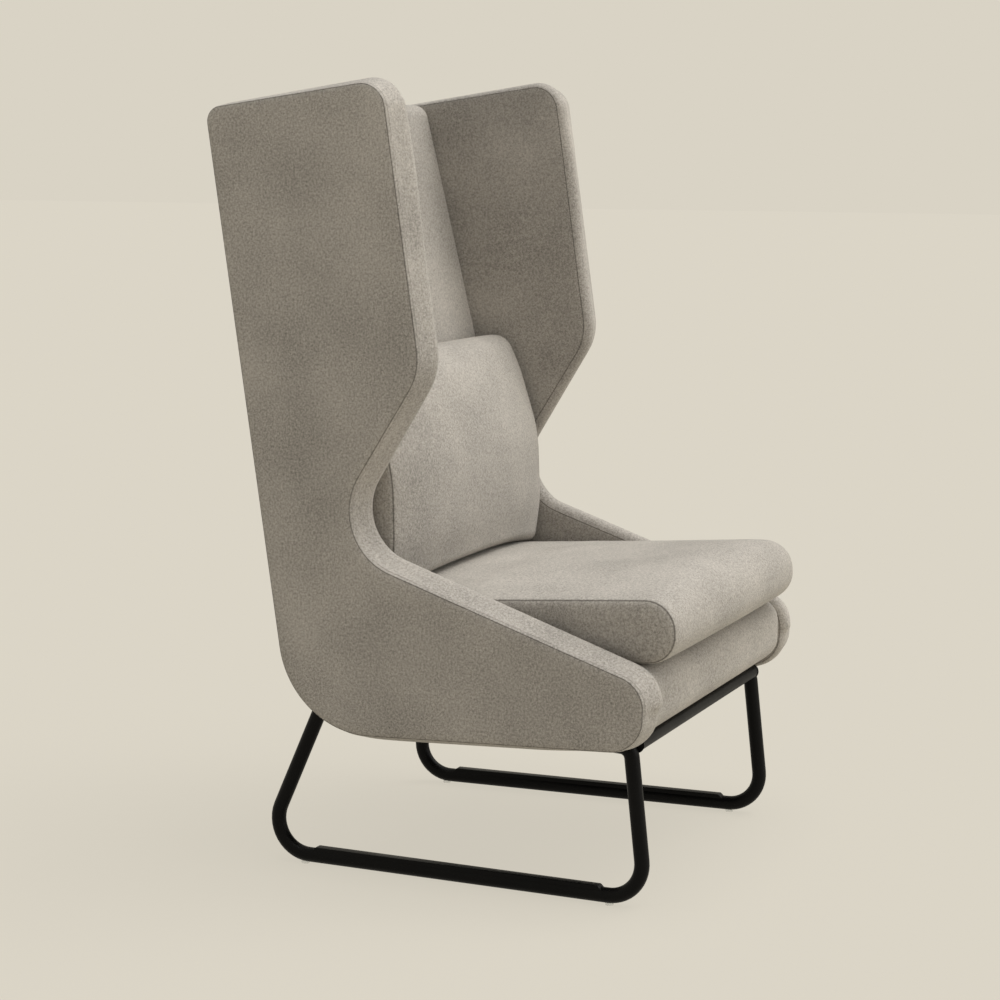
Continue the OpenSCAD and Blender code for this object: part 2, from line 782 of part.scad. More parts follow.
function back_line(h, d) = back_edge + lean_dir * (h - back_edge[1]) / cos(lean) - lean_out * d;

module rear_cover() {
  color(cloth_side) placed() slab_of(strip(rear_path, 0, -cloth_t), -unit_x, unit_x);
}

module rear_wadding() {
  color(foam_colour) placed() slab_of(strip(rear_path, -wad_in, -wad_in - rear_wad_t), -unit_x, unit_x);
}

ply_path = concat(
  [rear_path[0]],
  corner(back_under, back_heel, back_top, back_heel_r, step = 6),
  [path_end(back_line(stile_top + top_rail_h, 0), lean_out)]);

module back_board() {
  color(timber) placed() slab_of(strip(ply_path, -ply_in, -ply_front), -unit_x, unit_x);
}

function behind(h, d) = back_line(h, ply_front + d);

module back_stile() {
  color(timber) difference() {
    slab_of([behind(stile_low, 0), behind(stile_top, 0), behind(stile_top, stile_deep),
      behind(stile_low, stile_deep)], stile_inner_x, unit_x);
    at_panel_bolts() translate([0, 0, stile_inner_x - cut]) {
      cylinder(r = bolt_hole_r, h = stile_w + 2 * cut);
      cylinder(r = bolt_head_r + fit, h = head_recess + cut);
    }
  }
}

module back_top_rail() {
  color(timber) placed()
    slab_of([behind(stile_top, 0), behind(stile_top + top_rail_h, 0),
      behind(stile_top + top_rail_h, stile_deep), behind(stile_top, stile_deep)], -unit_x, unit_x);
}

module back_foam() {
  under = cloth_t + cloth_gap;
  low = pad_foot[1] + cut;
  rear_low = stile_low;
  foot = path_end(meet(pad_bend, lean_dir, [0, low], [1, 0]), [-lean_dir[1], lean_dir[0]]);
  face = concat([for (i = [0:len(pad_path) - 2]) pad_path[i]], [foot]);
  head = concat(corner(back_heel, back_top, pad_top, top_rear_r), [path_end(top_mid - lean_out * fit, lean_dir)]);
  points = concat(moved(face, -under),
    [behind(rear_low, fit), behind(stile_top + top_rail_h + fit, fit), back_line(stile_top + top_rail_h + fit, ply_in)],
    moved(head, -ply_in));
  color(foam_colour) placed() difference() {
    slab_of(points, -unit_x, unit_x);
    for (s = [0, 1]) mirror([s, 0, 0])
      slab_of([behind(stile_low - cut, -cut), behind(stile_top + cut, -cut),
        behind(stile_top + cut, stile_deep + fit), behind(stile_low - cut, stile_deep + fit)],
        stile_inner_x - fit, unit_x + cut);
    slab_of([behind(stile_top - fit, -cut), behind(stile_top + top_rail_h + fit, -cut),
      behind(stile_top + top_rail_h + fit, stile_deep + fit), behind(stile_top - fit, stile_deep + fit)],
      -unit_x - cut, unit_x + cut);
  }
}

module back_cover() {
  color(cloth_front) placed() slab_of(strip(pad_path, 0, -cloth_t), -unit_x, unit_x);
}

// Cushions. Rings lie across the chair, each a side outline with its share of the crown.

function seat_ring(s, d) = [for (q = cushion_path)
  let (k = crown_at(s),
       along = q[0] + d * q[2] + cushion_nose_out * k * min(0, q[2]),
       up = q[1] + d * q[3] + cushion_crown * k * max(0, q[3]),
       p = cushion_place([along, up]))
  [s * (cushion_x - cushion_pull * sin(half_turn * q[0] / cushion_len)), p[0], p[1]]];

function lumbar_ring(s, d) = [for (q = lumbar_path)
  let (k = crown_at(s),
       along = q[0] + d * q[2] + lumbar_crown * k * min(0, q[2]),
       lift = cushion_crown / cos(lean + seat_fall) * clamp(1 - q[1] / foot_fade, 0, 1),
       up = q[1] + d * q[3] + k * (lumbar_top_out * max(0, q[3]) + lift),
       p = lumbar_place([along, up]))
  [s * (cushion_x - lumbar_pull * sin(half_turn * clamp(q[1] / lumbar_h, 0, 1))), p[0], p[1]]];

// A sleeve of cloth: an outer and an inner skin, joined at both ends
module sleeve(outer, inner) {
  hoop([for (i = [0:len(outer[0]) - 1])
    concat([for (ring = outer) ring[i]], [for (ring = reversed(inner)) ring[i]])]);
}

// A cushion's side, drawn in at its seam and swollen between
function shrunk(ring, share, x) =
  let (n = len(ring), mid = [for (k = [1, 2]) [for (p = ring) p[k]] * [for (p = ring) 1] / n])
  [for (p = ring) [p[0] + x, mid[0] + (p[1] - mid[0]) * share, mid[1] + (p[2] - mid[1]) * share]];

module cushion_side(ring) {
  outer = concat([shrunk(ring, 1, cloth_t)], [for (s = side_shares) shrunk(ring, s[0], cloth_t + side_bulge * s[1])]);
  inner = concat([shrunk(ring, 1, cloth_gap)], [for (s = side_shares) shrunk(ring, s[0], cloth_gap + side_bulge * s[1])]);
  fanned(reversed(concat(reversed(inner), outer)));
}

core_in = cloth_t + 2 * cloth_gap;

module seat_cushion_core() {
  color(foam_colour) placed() fanned([for (s = across_shares) seat_ring(s, -core_in)]);
}

module seat_cushion_cover() {
  color(cloth_front) placed()
    sleeve([for (s = across_shares) seat_ring(s, 0)], [for (s = across_shares) seat_ring(s, -cloth_t)]);
}

module seat_cushion_side() {
  color(cloth_side) cushion_side(seat_ring(1, -seam_in));
}

module lumbar_core() {
  color(foam_colour) placed() fanned([for (s = across_shares) lumbar_ring(s, -core_in)]);
}

module lumbar_cover() {
  color(cloth_front) placed()
    sleeve([for (s = across_shares) lumbar_ring(s, 0)], [for (s = across_shares) lumbar_ring(s, -cloth_t)]);
}

module lumbar_side() {
  color(cloth_side) cushion_side(lumbar_ring(1, -seam_in));
}

left_side() leg_loop();  // left_leg_loop
right_side() leg_loop();  // right_leg_loop
cross_tube(cross_front);  // front_cross_tube
cross_tube([rear_cross_back, rail_h(rear_cross_back)]);  // rear_cross_tube
left_side() runner_bar();  // left_runner_bar
right_side() runner_bar();  // right_runner_bar
glides();
mounting_plates();
base_bolts();
bolt_washers();
base_inserts();
left_side() seat_rail();  // left_seat_rail
right_side() seat_rail();  // right_seat_rail
cross_rail(frame_front);  // front_rail
cross_rail(rear_rail_y);  // rear_rail
webbing();
deck_pad();
deck_cover();
front_roll_foam();
front_roll_cover();
dust_cover();
back_board();
left_side() back_stile();  // left_back_stile
right_side() back_stile();  // right_back_stile
back_top_rail();
back_foam();
back_cover();
rear_wadding();
rear_cover();
left_side() side_board();  // left_side_board
left_side() edge_foam();  // left_edge_foam
left_side() outer_pad();  // left_outer_pad
left_side() inner_pad();  // left_inner_pad
left_side() edge_band();  // left_edge_band
left_side() face_cover(outer_x - cloth_t, false);  // left_outer_cover
left_side() face_cover(inner_x, true);  // left_inner_cover
right_side() side_board();  // right_side_board
right_side() edge_foam();  // right_edge_foam
right_side() outer_pad();  // right_outer_pad
right_side() inner_pad();  // right_inner_pad
right_side() edge_band();  // right_edge_band
right_side() face_cover(outer_x - cloth_t, false);  // right_outer_cover
right_side() face_cover(inner_x, true);  // right_inner_cover
panel_bolts();
panel_inserts();
seat_cushion_core();
seat_cushion_cover();
left_side() seat_cushion_side();  // seat_cushion_left_side
right_side() seat_cushion_side();  // seat_cushion_right_side
lumbar_core();
lumbar_cover();
left_side() lumbar_side();  // lumbar_left_side
right_side() lumbar_side();  // lumbar_right_side
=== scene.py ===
import math

import bmesh
import bpy
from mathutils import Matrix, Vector, noise


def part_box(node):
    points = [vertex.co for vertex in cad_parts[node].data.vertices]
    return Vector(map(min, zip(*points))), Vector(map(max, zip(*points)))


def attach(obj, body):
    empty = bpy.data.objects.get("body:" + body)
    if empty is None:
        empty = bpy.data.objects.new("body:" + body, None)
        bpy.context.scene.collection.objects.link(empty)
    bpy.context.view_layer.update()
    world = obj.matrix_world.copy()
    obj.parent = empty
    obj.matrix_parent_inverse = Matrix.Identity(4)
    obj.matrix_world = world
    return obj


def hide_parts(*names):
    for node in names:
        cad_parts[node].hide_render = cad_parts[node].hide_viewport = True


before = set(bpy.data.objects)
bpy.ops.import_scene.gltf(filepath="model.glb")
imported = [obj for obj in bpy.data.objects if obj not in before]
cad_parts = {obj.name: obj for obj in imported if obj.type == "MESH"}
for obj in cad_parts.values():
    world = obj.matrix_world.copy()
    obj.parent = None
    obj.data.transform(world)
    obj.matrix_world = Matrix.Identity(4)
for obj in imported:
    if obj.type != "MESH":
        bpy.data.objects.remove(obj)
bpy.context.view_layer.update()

# Camera. It stands at the photograph's place, in front of the chair and on its right, a little
# above the seat, and looks at the middle of the chair.
SENSOR_MM = 36
LENS_MM = 92.08
VIEW_TURN = math.radians(-66.708)
VIEW_LIFT = math.radians(8.466)
VIEW_FROM_M = 4.4535
LOOK_AT = Vector((0, 0.046, 0.6))
FAR_CLIP_M = 60

lens = bpy.data.cameras.new("camera")
lens.sensor_width = SENSOR_MM
lens.lens = LENS_MM
lens.clip_end = FAR_CLIP_M
camera = bpy.data.objects.new("camera", lens)
bpy.context.scene.collection.objects.link(camera)
bpy.context.scene.camera = camera
towards_camera = Vector((math.sin(VIEW_TURN) * math.cos(VIEW_LIFT),
                         -math.cos(VIEW_TURN) * math.cos(VIEW_LIFT), math.sin(VIEW_LIFT)))
camera.location = LOOK_AT + towards_camera * VIEW_FROM_M
camera.rotation_euler = towards_camera.to_track_quat("Z", "Y").to_euler()

# Wool cloth. All the covers are one felted wool of mixed light and dark fibres, plain woven, with
# a dry, soft surface. Plain seams join them, and each stitch puckers the cloth a little.
MM = 0.001
WOOL_LIGHT = (0.62, 0.573, 0.508, 1)
WOOL_DARK = (0.105, 0.096, 0.084, 1)
WOOL_SHEEN = 0.25
WOOL_SHEEN_ROUGH = 0.55
WOOL_SHEEN_TINT = (0.9, 0.87, 0.8, 1)
WOOL_GLOSS = 0.25
WOOL_ROUGH = (0.98, 0.86)
FLECK_PER_M = 270
FIBRE_PER_M = 1000
THREAD_PER_M = 4200
DRIFT_PER_M = 7
WOBBLE_PER_M = 120
FLECK_SHARE = 0.42
FIBRE_SHARE = 0.58
DRIFT_SHARE = 0.18
THREAD_SHARE = 0.16
THREAD_WOBBLE = 5.0
NOISE_SPAN = (0.3, 0.7)
NAP_MM = 0.22
NAP_STRENGTH = 0.8
STITCH_MM = 4.2
SEAM_REACH_MM = 2.2
# painted shade: the colour that darkens the wool along each seam, standing in for the shade in the
# seam's groove
SEAM_PAINTED_SHADE = (0.3, 0.285, 0.27, 1)
# the second line is painted shade of the crease beside the band's outer seam
SECOND_LINE_MM = 6.5
SECOND_LINE_PER_M = 9
SECOND_LINE_SPAN = (0.35, 0.65)
SECOND_LINE_SHARE = (0.15, 0.6)
PUCKER_REACH_MM = 6
PUCKER_MM = 0.16


def new_group(name, inputs, outputs):
    """A shader node group with named sockets, and its input and output nodes."""
    group = bpy.data.node_groups.new(name, "ShaderNodeTree")
    for socket, kind, value in inputs:
        made = group.interface.new_socket(socket, in_out="INPUT", socket_type="NodeSocket" + kind)
        made.default_value = value
    for socket, kind in outputs:
        group.interface.new_socket(socket, in_out="OUTPUT", socket_type="NodeSocket" + kind)
    return group, group.nodes.new("NodeGroupInput"), group.nodes.new("NodeGroupOutput")


def add(tree, kind, links=None, **settings):
    """A node of a tree, with its settings and what its inputs read: a socket or a value."""
    node = tree.nodes.new("ShaderNode" + kind)
    for key, value in settings.items():
        setattr(node, key, value)
    for key, value in (links or {}).items():
        if isinstance(value, bpy.types.NodeSocket):
            tree.links.new(value, node.inputs[key])
        else:
            node.inputs[key].default_value = value
    return node


def maths(tree, operation, a, b=0.0, clamp=False):
    return add(tree, "Math", {0: a, 1: b}, operation=operation, use_clamp=clamp).outputs[0]


def ranged(tree, value, to, source=(0, 1)):
    """A value carried from one range to another, and held inside it."""
    return add(tree, "MapRange", {"Value": value, "From Min": source[0], "From Max": source[1],
                                  "To Min": to[0], "To Max": to[1]}).outputs[0]


def mixed(tree, share, first, second, way="MIX"):
    """A colour from two. A Mix node names its sockets alike, and its colours are 6, 7 and 2."""
    return add(tree, "Mix", {0: share, 6: first, 7: second}, data_type="RGBA",
               blend_type=way).outputs[2]


def clouds(tree, place, per_m, detail, rough=0.5, bent=0.0):
    """Soft uneven patches, so many to the metre."""
    return add(tree, "TexNoise", {"Vector": place, "Scale": per_m, "Detail": detail,
                                  "Roughness": rough, "Distortion": bent})


def here_on(tree):
    return add(tree, "TexCoord").outputs["Object"]


def new_material(name):
    """An empty material, its tree and its surface shader."""
    material = bpy.data.materials.new(name)
    material.use_nodes = True
    return material, material.node_tree, material.node_tree.nodes["Principled BSDF"]


def coated(tree, surface, colour, rough, height=None, strength=1.0, deep=1.0):
    """Gives a surface its colour, its roughness and, where it has one, its relief."""
    tree.links.new(colour, surface.inputs["Base Color"])
    tree.links.new(rough, surface.inputs["Roughness"])
    if height:
        bump = add(tree, "Bump", {"Height": height, "Strength": strength, "Distance": deep})
        tree.links.new(bump.outputs[0], surface.inputs["Normal"])


def cloth_group():
    """Mixed fibres: flecks of two sizes between a light and a dark colour, and a weave's height."""
    tree, given, out = new_group(
        "mixed_fibres",
        [("Light", "Color", WOOL_LIGHT), ("Dark", "Color", WOOL_DARK),
         ("Flecks per m", "Float", FLECK_PER_M), ("Fibres per m", "Float", FIBRE_PER_M),
         ("Threads per m", "Float", THREAD_PER_M)],
        [("Color", "Color"), ("Height", "Float"), ("Roughness", "Float")])
    place = here_on(tree)
    fleck = clouds(tree, place, given.outputs["Flecks per m"], 2.5, 0.62).outputs["Fac"]
    fibre = clouds(tree, place, given.outputs["Fibres per m"], 2.0, 0.7).outputs["Fac"]
    drift = clouds(tree, place, DRIFT_PER_M, 2.0).outputs["Fac"]
    both = maths(tree, "ADD", maths(tree, "MULTIPLY", fleck, FLECK_SHARE),
                 maths(tree, "MULTIPLY", fibre, FIBRE_SHARE))
    slow = maths(tree, "MULTIPLY", maths(tree, "SUBTRACT", drift, 0.5), DRIFT_SHARE)
    spread = ranged(tree, maths(tree, "ADD", both, slow), (0, 1), NOISE_SPAN)
    colour = mixed(tree, spread, given.outputs["Dark"], given.outputs["Light"])
    wobble = clouds(tree, place, WOBBLE_PER_M, 1.0).outputs["Color"]
    scaled = add(tree, "VectorMath", {0: place, "Scale": given.outputs["Threads per m"]},
                 operation="SCALE")
    shaken = add(tree, "VectorMath", {0: wobble, "Scale": THREAD_WOBBLE}, operation="SCALE")
    warped = add(tree, "VectorMath", {0: scaled.outputs[0], 1: shaken.outputs[0]}, operation="ADD")
    axes = add(tree, "SeparateXYZ", {0: warped.outputs[0]})
    waves = [maths(tree, "SINE", axes.outputs[k]) for k in range(3)]
    pairs = [maths(tree, "MULTIPLY", waves[a], waves[b]) for a, b in ((0, 1), (1, 2), (2, 0))]
    threads = maths(tree, "ADD", maths(tree, "ADD", pairs[0], pairs[1]), pairs[2])
    height = maths(tree, "ADD", maths(tree, "MULTIPLY", threads, THREAD_SHARE), fibre)
    tree.links.new(colour, out.inputs["Color"])
    tree.links.new(maths(tree, "ADD", height, fleck), out.inputs["Height"])
    tree.links.new(ranged(tree, both, WOOL_ROUGH, NOISE_SPAN), out.inputs["Roughness"])
    return tree


def seam_group():
    """A sewn seam: u runs along it and v away from it in metres, positive on a lined band. Its line
    is painted shade along the seam's groove, with a fainter painted crease shade beside it on the
    bands.
    """
    tree, given, out = new_group(
        "sewn_seam",
        [("Stitch", "Float", STITCH_MM * MM), ("Reach", "Float", SEAM_REACH_MM * MM),
         ("Pucker reach", "Float", PUCKER_REACH_MM * MM),
         ("Second line at", "Float", SECOND_LINE_MM * MM)],
        [("Line", "Float"), ("Pucker", "Float")])
    axes = add(tree, "SeparateXYZ", {0: add(tree, "UVMap", uv_map="seam").outputs["UV"]})
    away = maths(tree, "ABSOLUTE", axes.outputs[1])

    def fading(distance, reach):
        share = maths(tree, "DIVIDE", distance, given.outputs[reach])
        return maths(tree, "SUBTRACT", 1.0, share, clamp=True)

    # a fainter painted shade beside the outer seam on the bands, in uneven patches, standing in for
    # the shade of the crease there
    off = maths(tree, "SUBTRACT", axes.outputs[1], given.outputs["Second line at"])
    second = fading(maths(tree, "ABSOLUTE", off), "Reach")
    patches = clouds(tree, here_on(tree), SECOND_LINE_PER_M, 1.0).outputs["Fac"]
    faint = ranged(tree, patches, SECOND_LINE_SHARE, SECOND_LINE_SPAN)
    line = maths(tree, "MAXIMUM", fading(away, "Reach"), maths(tree, "MULTIPLY", second, faint))
    stitches = maths(tree, "DIVIDE", axes.outputs[0], given.outputs["Stitch"])
    wave = maths(tree, "SINE", maths(tree, "MULTIPLY", stitches, 2 * math.pi))
    pucker = maths(tree, "MULTIPLY", wave, fading(away, "Pucker reach"))
    tree.links.new(line, out.inputs["Line"])
    tree.links.new(pucker, out.inputs["Pucker"])
    return tree


def wool(name):
    material, tree, surface = new_material(name)
    cloth = add(tree, "Group", {"Light": WOOL_LIGHT, "Dark": WOOL_DARK}, node_tree=cloth_group())
    seam = add(tree, "Group", node_tree=seam_group())
    # the seam's painted shade darkens the wool along every seam
    colour = mixed(tree, seam.outputs["Line"], cloth.outputs["Color"], SEAM_PAINTED_SHADE, "MULTIPLY")
    nap = maths(tree, "MULTIPLY", cloth.outputs["Height"], NAP_MM * MM)
    pucker = maths(tree, "MULTIPLY", seam.outputs["Pucker"], PUCKER_MM * MM)
    coated(tree, surface, colour, cloth.outputs["Roughness"], maths(tree, "ADD", nap, pucker),
           NAP_STRENGTH)
    surface.inputs["Specular IOR Level"].default_value = WOOL_GLOSS
    surface.inputs["Sheen Weight"].default_value = WOOL_SHEEN
    surface.inputs["Sheen Roughness"].default_value = WOOL_SHEEN_ROUGH
    surface.inputs["Sheen Tint"].default_value = WOOL_SHEEN_TINT
    return material


wool_cloth = wool("felted_wool")

# Side panels. Each is a plywood board between foam pads with a softer foam edge, in three pieces
# of wool: an outer face, an inner face, and a band between them that runs right round the edge.
# The faces are pulled flat, and the seams sink between them and the band.
LEAN = math.radians(8)
WING_DEPTH_MM = 320
WING_H_MM = 460
KNEE_RISE_MM = 475
KNEE_BACK_MM = 380
WING_TAPER = math.radians(32.4)
NOSE_H_MM = 107
ARM_RISE = math.radians(18.8)
ARM_UNDER_H_MM = 276
UNDER_FALL = math.radians(2)
SIDE_ROUNDS_MM = (25, 42, 95, 103, 52, 58, 158)
SIDE_SWELLS_MM = (6, 9, 12.8, 16, 14.4, 6.4, 8)
FRONT_FULL_MM = ((0, 0), (150, 0.5), (330, 5), (420, 3), (460, 0))
UNDER_FULL_MM = ((0, 0), (60, 2), (200, 7.5), (430, 7.5), (560, 3), (620, 0))
STRAIGHT_ON = 0.98
INNER_X_MM = 326
PANEL_MM = 65
OUTER_X_MM = INNER_X_MM + PANEL_MM
EDGE_STEP_MM = 6
# Across the band, from the outer seam: the share of its swell, and how far it sinks at the seams
BAND_SHARES = ((0, 0), (0.06, 0.12), (0.3, 0.44), (0.52, 0.78), (0.72, 1), (0.84, 0.92),
               (0.94, 0.58), (1, 0.12))
INNER_SHARE = 0.12
BAND_STATIONS_MM = (0, 0.5, 1.1, 2, 3.4, 5, 7, 10, 14, 19, 25, 31, 37, 43, 48, 52, 55, 57.5,
                    59.5, 61, 62.2, 63.2, 64, 64.6, 65)
SEAM_DEEP_MM = 1.3
SEAM_SINK_MM = ((0, -SEAM_DEEP_MM), (0.5, -0.9), (1.1, -0.5), (2, -0.2), (3.4, -0.06), (6, 0),
                (99, 0))
FACE_STATIONS_MM = (22, 16, 11, 7.5, 5, 3.4, 2.2, 1.2, 0.5)
FACE_RISE_MM = ((0, -1.2), (0.5, -0.8), (1.2, -0.35), (2.2, 0.1), (3.4, 0.45), (5, 0.8),
                (7.5, 1.1), (11, 1.35), (16, 1.5), (22, 1.6))
FACE_EDGE_MM = 0.4
FACE_GRID_M = 0.03
CUT_WITHIN_M = 1e-6
INNER_RISE_SHARE = 0.6
UNEVEN_MM = ((9, 0.7), (23, 0.25))
KNEE_LINE_MM = 6.5
KNEE_LINE_WIDE_MM = 1.6
KNEE_LINE_DEEP_MM = 0.9
KNEE_REACH_MM = 150
NOTCH_REACH_MM = 120


def ahead(angle):
    """A step of one in the side plane, so far above the way back."""
    return Vector((math.cos(angle), math.sin(angle)))


def meeting(p, u, q, v):
    """Where the line through p along u meets the line through q along v."""
    w = q - p
    return p + u * ((w.x * v.y - w.y * v.x) / (u.x * v.y - u.y * v.x))


def outline(points, rounds, swells=None, step=EDGE_STEP_MM, closed=True):
    """A line with rounded corners, as its points with their outward normals and swells."""
    swells = swells or [0] * len(points)
    count = len(points)
    found = []
    for i, b in enumerate(points):
        if not closed and i in (0, count - 1):
            way = (points[1] - b) if i == 0 else (b - points[i - 1])
            found.append((b, Vector((way.y, -way.x)).normalized(), swells[i]))
            continue
        a, c, r = points[i - 1], points[(i + 1) % count], rounds[i]
        u, v = (a - b).normalized(), (c - b).normalized()
        half = u.angle(v) / 2
        centre = b + (u + v).normalized() * (r / math.sin(half))
        first = b + u * (r / math.tan(half)) - centre
        side = 1 if (b - a).x * (c - b).y - (b - a).y * (c - b).x > 0 else -1
        sweep = side * (math.pi - 2 * half)
        steps = max(2, math.ceil(abs(sweep) * r / step))
        start = math.atan2(first.y, first.x)
        for k in range(steps + 1):
            way = ahead(start + sweep * k / steps)
            found.append((centre + way * r, way * side, swells[i]))
    ring = []
    for i, (p, n, s) in enumerate(found):
        ring.append((p, n, s))
        if i + 1 == len(found) and not closed:
            break
        q, m, t = found[(i + 1) % len(found)]
        gaps = math.ceil((q - p).length / step)
        for k in range(1, gaps):
            f = k / gaps
            ring.append((p.lerp(q, f), n.lerp(m, f).normalized(), s + (t - s) * f))
    return ring


def pushed(ring, out, share=0):
    """The outline's points moved outwards by a distance and by a share of their swell."""
    return [p + n * (out + share * s) for p, n, s in ring]


def curve_through(knots, x):
    """A smooth value at x between knots (x, value), with no overshoot."""
    for i in range(len(knots) - 1):
        (x0, y0), (x1, y1) = knots[i], knots[i + 1]
        if x <= x1:
            break
    slopes = [(knots[k + 1][1] - knots[k][1]) / (knots[k + 1][0] - knots[k][0])
              for k in range(len(knots) - 1)]

    def tangent(k):
        if k == 0:
            return slopes[0]
        if k == len(knots) - 1:
            return slopes[-1]
        a, b = slopes[k - 1], slopes[k]
        return 0 if a * b <= 0 else 2 * a * b / (a + b)

    h = x1 - x0
    t = min(1, max(0, (x - x0) / h))
    return (y0 * (2 * t**3 - 3 * t**2 + 1) + tangent(i) * h * (t**3 - 2 * t**2 + t)
            + y1 * (3 * t**2 - 2 * t**3) + tangent(i + 1) * h * (t**3 - t**2))


wing_way = ahead(math.pi / 2 - LEAN)
wing_back = ahead(-LEAN)
nose_top = Vector((0, ARM_UNDER_H_MM + NOSE_H_MM))
nose_low = Vector((0, ARM_UNDER_H_MM))
knee = Vector((KNEE_BACK_MM, nose_top.y + KNEE_RISE_MM))
wing_front_top = knee + wing_way * (WING_H_MM / math.cos(LEAN))
wing_rear_top = wing_front_top + wing_back * WING_DEPTH_MM
notch = meeting(knee, ahead(WING_TAPER - math.pi / 2), nose_top, ahead(ARM_RISE))
heel = meeting(wing_rear_top, wing_way, nose_low, ahead(-UNDER_FALL))


def fuller(ring):
    """The outline with its band fuller along the wing's front and under the arm."""
    full = []
    for p, n, s in ring:
        up = (p - knee).dot(wing_way)
        if n.dot(wing_back) < -STRAIGHT_ON and up > 0:
            s += curve_through(FRONT_FULL_MM, up)
        if n.y < -STRAIGHT_ON:
            s += curve_through(UNDER_FULL_MM, p.x)
        full.append((p, n, s))
    return full


side_ring = outline([wing_rear_top, wing_front_top, knee, notch, nose_top, nose_low, heel],
                    SIDE_ROUNDS_MM, SIDE_SWELLS_MM)
rear_most = max(p.x for p in pushed(side_ring, 0, 1))
side_ring = fuller(side_ring)
BACK_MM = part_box("left_edge_band")[1].y / MM - rear_most


def placed(x, p):
    """A point of the side plane, in mm back from the arms' front, as a place in the chair."""
    return Vector((x, p.x + BACK_MM, p.y)) * MM


def lofted(name, rings, seams=(), lined=()):
    """A closed mesh through rings of equal length, with caps. Its seam map runs along the rings
    and away from the nearest of the seam rings, positive on the rings that are lined."""
    mesh = bpy.data.meshes.new(name)
    work = bmesh.new()
    seam = work.loops.layers.uv.new("seam")
    rows = [[work.verts.new(p) for p in ring] for ring in rings]
    count = len(rings[0])
    first = rings[seams[0]] if seams else rings[0]
    along = [0]
    for i in range(count):
        along.append(along[-1] + (first[(i + 1) % count] - first[i]).length)
    reach = [[0] * count]
    for a, b in zip(rings, rings[1:]):
        reach.append([r + (q - p).length for r, p, q in zip(reach[-1], a, b)])
    away = [[min((abs(r - reach[j][i]) for j in seams), default=1) for i, r in enumerate(row)]
            for row in reach]
    for j in range(len(rows) - 1):
        way = 1 if j in lined else -1
        for i in range(count):
            k = (i + 1) % count
            face = work.faces.new((rows[j][i], rows[j][k], rows[j + 1][k], rows[j + 1][i]))
            places = ((i, j, i), (i + 1, j, k), (i + 1, j + 1, k), (i, j + 1, i))
            for loop, (u, row, column) in zip(face.loops, places):
                loop[seam].uv = (along[u], way * away[row][column])
    caps = [work.faces.new(list(reversed(rows[0]))), work.faces.new(rows[-1])]
    for cap in caps:
        for loop in cap.loops:
            loop[seam].uv = (0, -1)
    return mesh, work, caps


def as_piece(name, mesh, work, material, body, nodes):
    """Ends a mesh, and gives its piece a finish, a body and the nodes that it stands for."""
    bmesh.ops.recalc_face_normals(work, faces=work.faces)
    for face in work.faces:
        face.smooth = True
    work.to_mesh(mesh)
    work.free()
    piece = bpy.data.objects.new(name, mesh)
    bpy.context.scene.collection.objects.link(piece)
    mesh.materials.append(material)
    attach(piece, body)
    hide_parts(*nodes)
    return piece


def gridded(work, face, step):
    """Cuts a flat face of the side plane into squares, so that it can be shaped."""
    faces = [face]
    for axis in (Vector((0, 1, 0)), Vector((0, 0, 1))):
        reach = [v.co.dot(axis) for f in faces for v in f.verts]
        place = math.floor(min(reach) / step) * step + step
        while place < max(reach):
            geometry = set(faces)
            for f in faces:
                geometry.update(f.edges)
                geometry.update(f.verts)
            done = bmesh.ops.bisect_plane(work, geom=list(geometry), dist=CUT_WITHIN_M,
                                          plane_co=axis * place, plane_no=axis)
            faces = [g for g in done["geom"] if isinstance(g, bmesh.types.BMFace)]
            place += step


def band_loop(station):
    """The band's edge at one distance from its outer seam. Round the knees, where the band is
    pulled, a second line sinks beside that seam."""
    share = curve_through(BAND_SHARES, station / PANEL_MM)
    sink = curve_through(SEAM_SINK_MM, min(station, PANEL_MM - station))
    line = math.exp(-(((station - KNEE_LINE_MM) / KNEE_LINE_WIDE_MM) ** 2)) * KNEE_LINE_DEEP_MM
    loop = []
    for p, n, s in side_ring:
        near_knee = max(0, 1 - ((p - knee).length / KNEE_REACH_MM) ** 2)
        near_notch = max(0, 1 - ((p - notch).length / NOTCH_REACH_MM) ** 2)
        loop.append(p + n * (sink + share * s - line * min(1, near_knee + near_notch)))
    return loop


def side_upholstery(name, side, nodes):
    rings = []
    for station in FACE_STATIONS_MM:
        x = OUTER_X_MM + curve_through(FACE_RISE_MM, station)
        rings.append([placed(side * x, p) for p in pushed(side_ring, -station)])
    outer_seam = len(rings)
    for station in BAND_STATIONS_MM:
        rings.append([placed(side * (OUTER_X_MM - station), p) for p in band_loop(station)])
    inner_seam = len(rings) - 1
    for station in reversed(FACE_STATIONS_MM):
        x = INNER_X_MM - curve_through(FACE_RISE_MM, station) * INNER_RISE_SHARE
        rings.append([placed(side * x, p) for p in pushed(side_ring, -station, INNER_SHARE)])
    lined = range(outer_seam, (outer_seam + inner_seam) // 2)
    mesh, work, caps = lofted(name, rings, (outer_seam, inner_seam), lined)
    for cap in caps:
        gridded(work, cap, FACE_GRID_M)
    middle = side * (INNER_X_MM + PANEL_MM / 2) * MM
    for vertex in work.verts:
        place = vertex.co
        shift = sum(noise.noise(place * per_m) * deep for per_m, deep in UNEVEN_MM) * MM
        if abs(place.x - middle) > (PANEL_MM / 2 - FACE_EDGE_MM) * MM:
            place.x += math.copysign(shift, place.x - middle)
    piece = as_piece(name, mesh, work, wool_cloth, "chair", nodes)


for side, word in ((1, "left"), (-1, "right")):
    side_upholstery(
        word + "_side_upholstery", side,
        [word + "_" + part for part in ("edge_band", "outer_cover", "inner_cover", "edge_foam",
                                        "outer_pad", "inner_pad")])

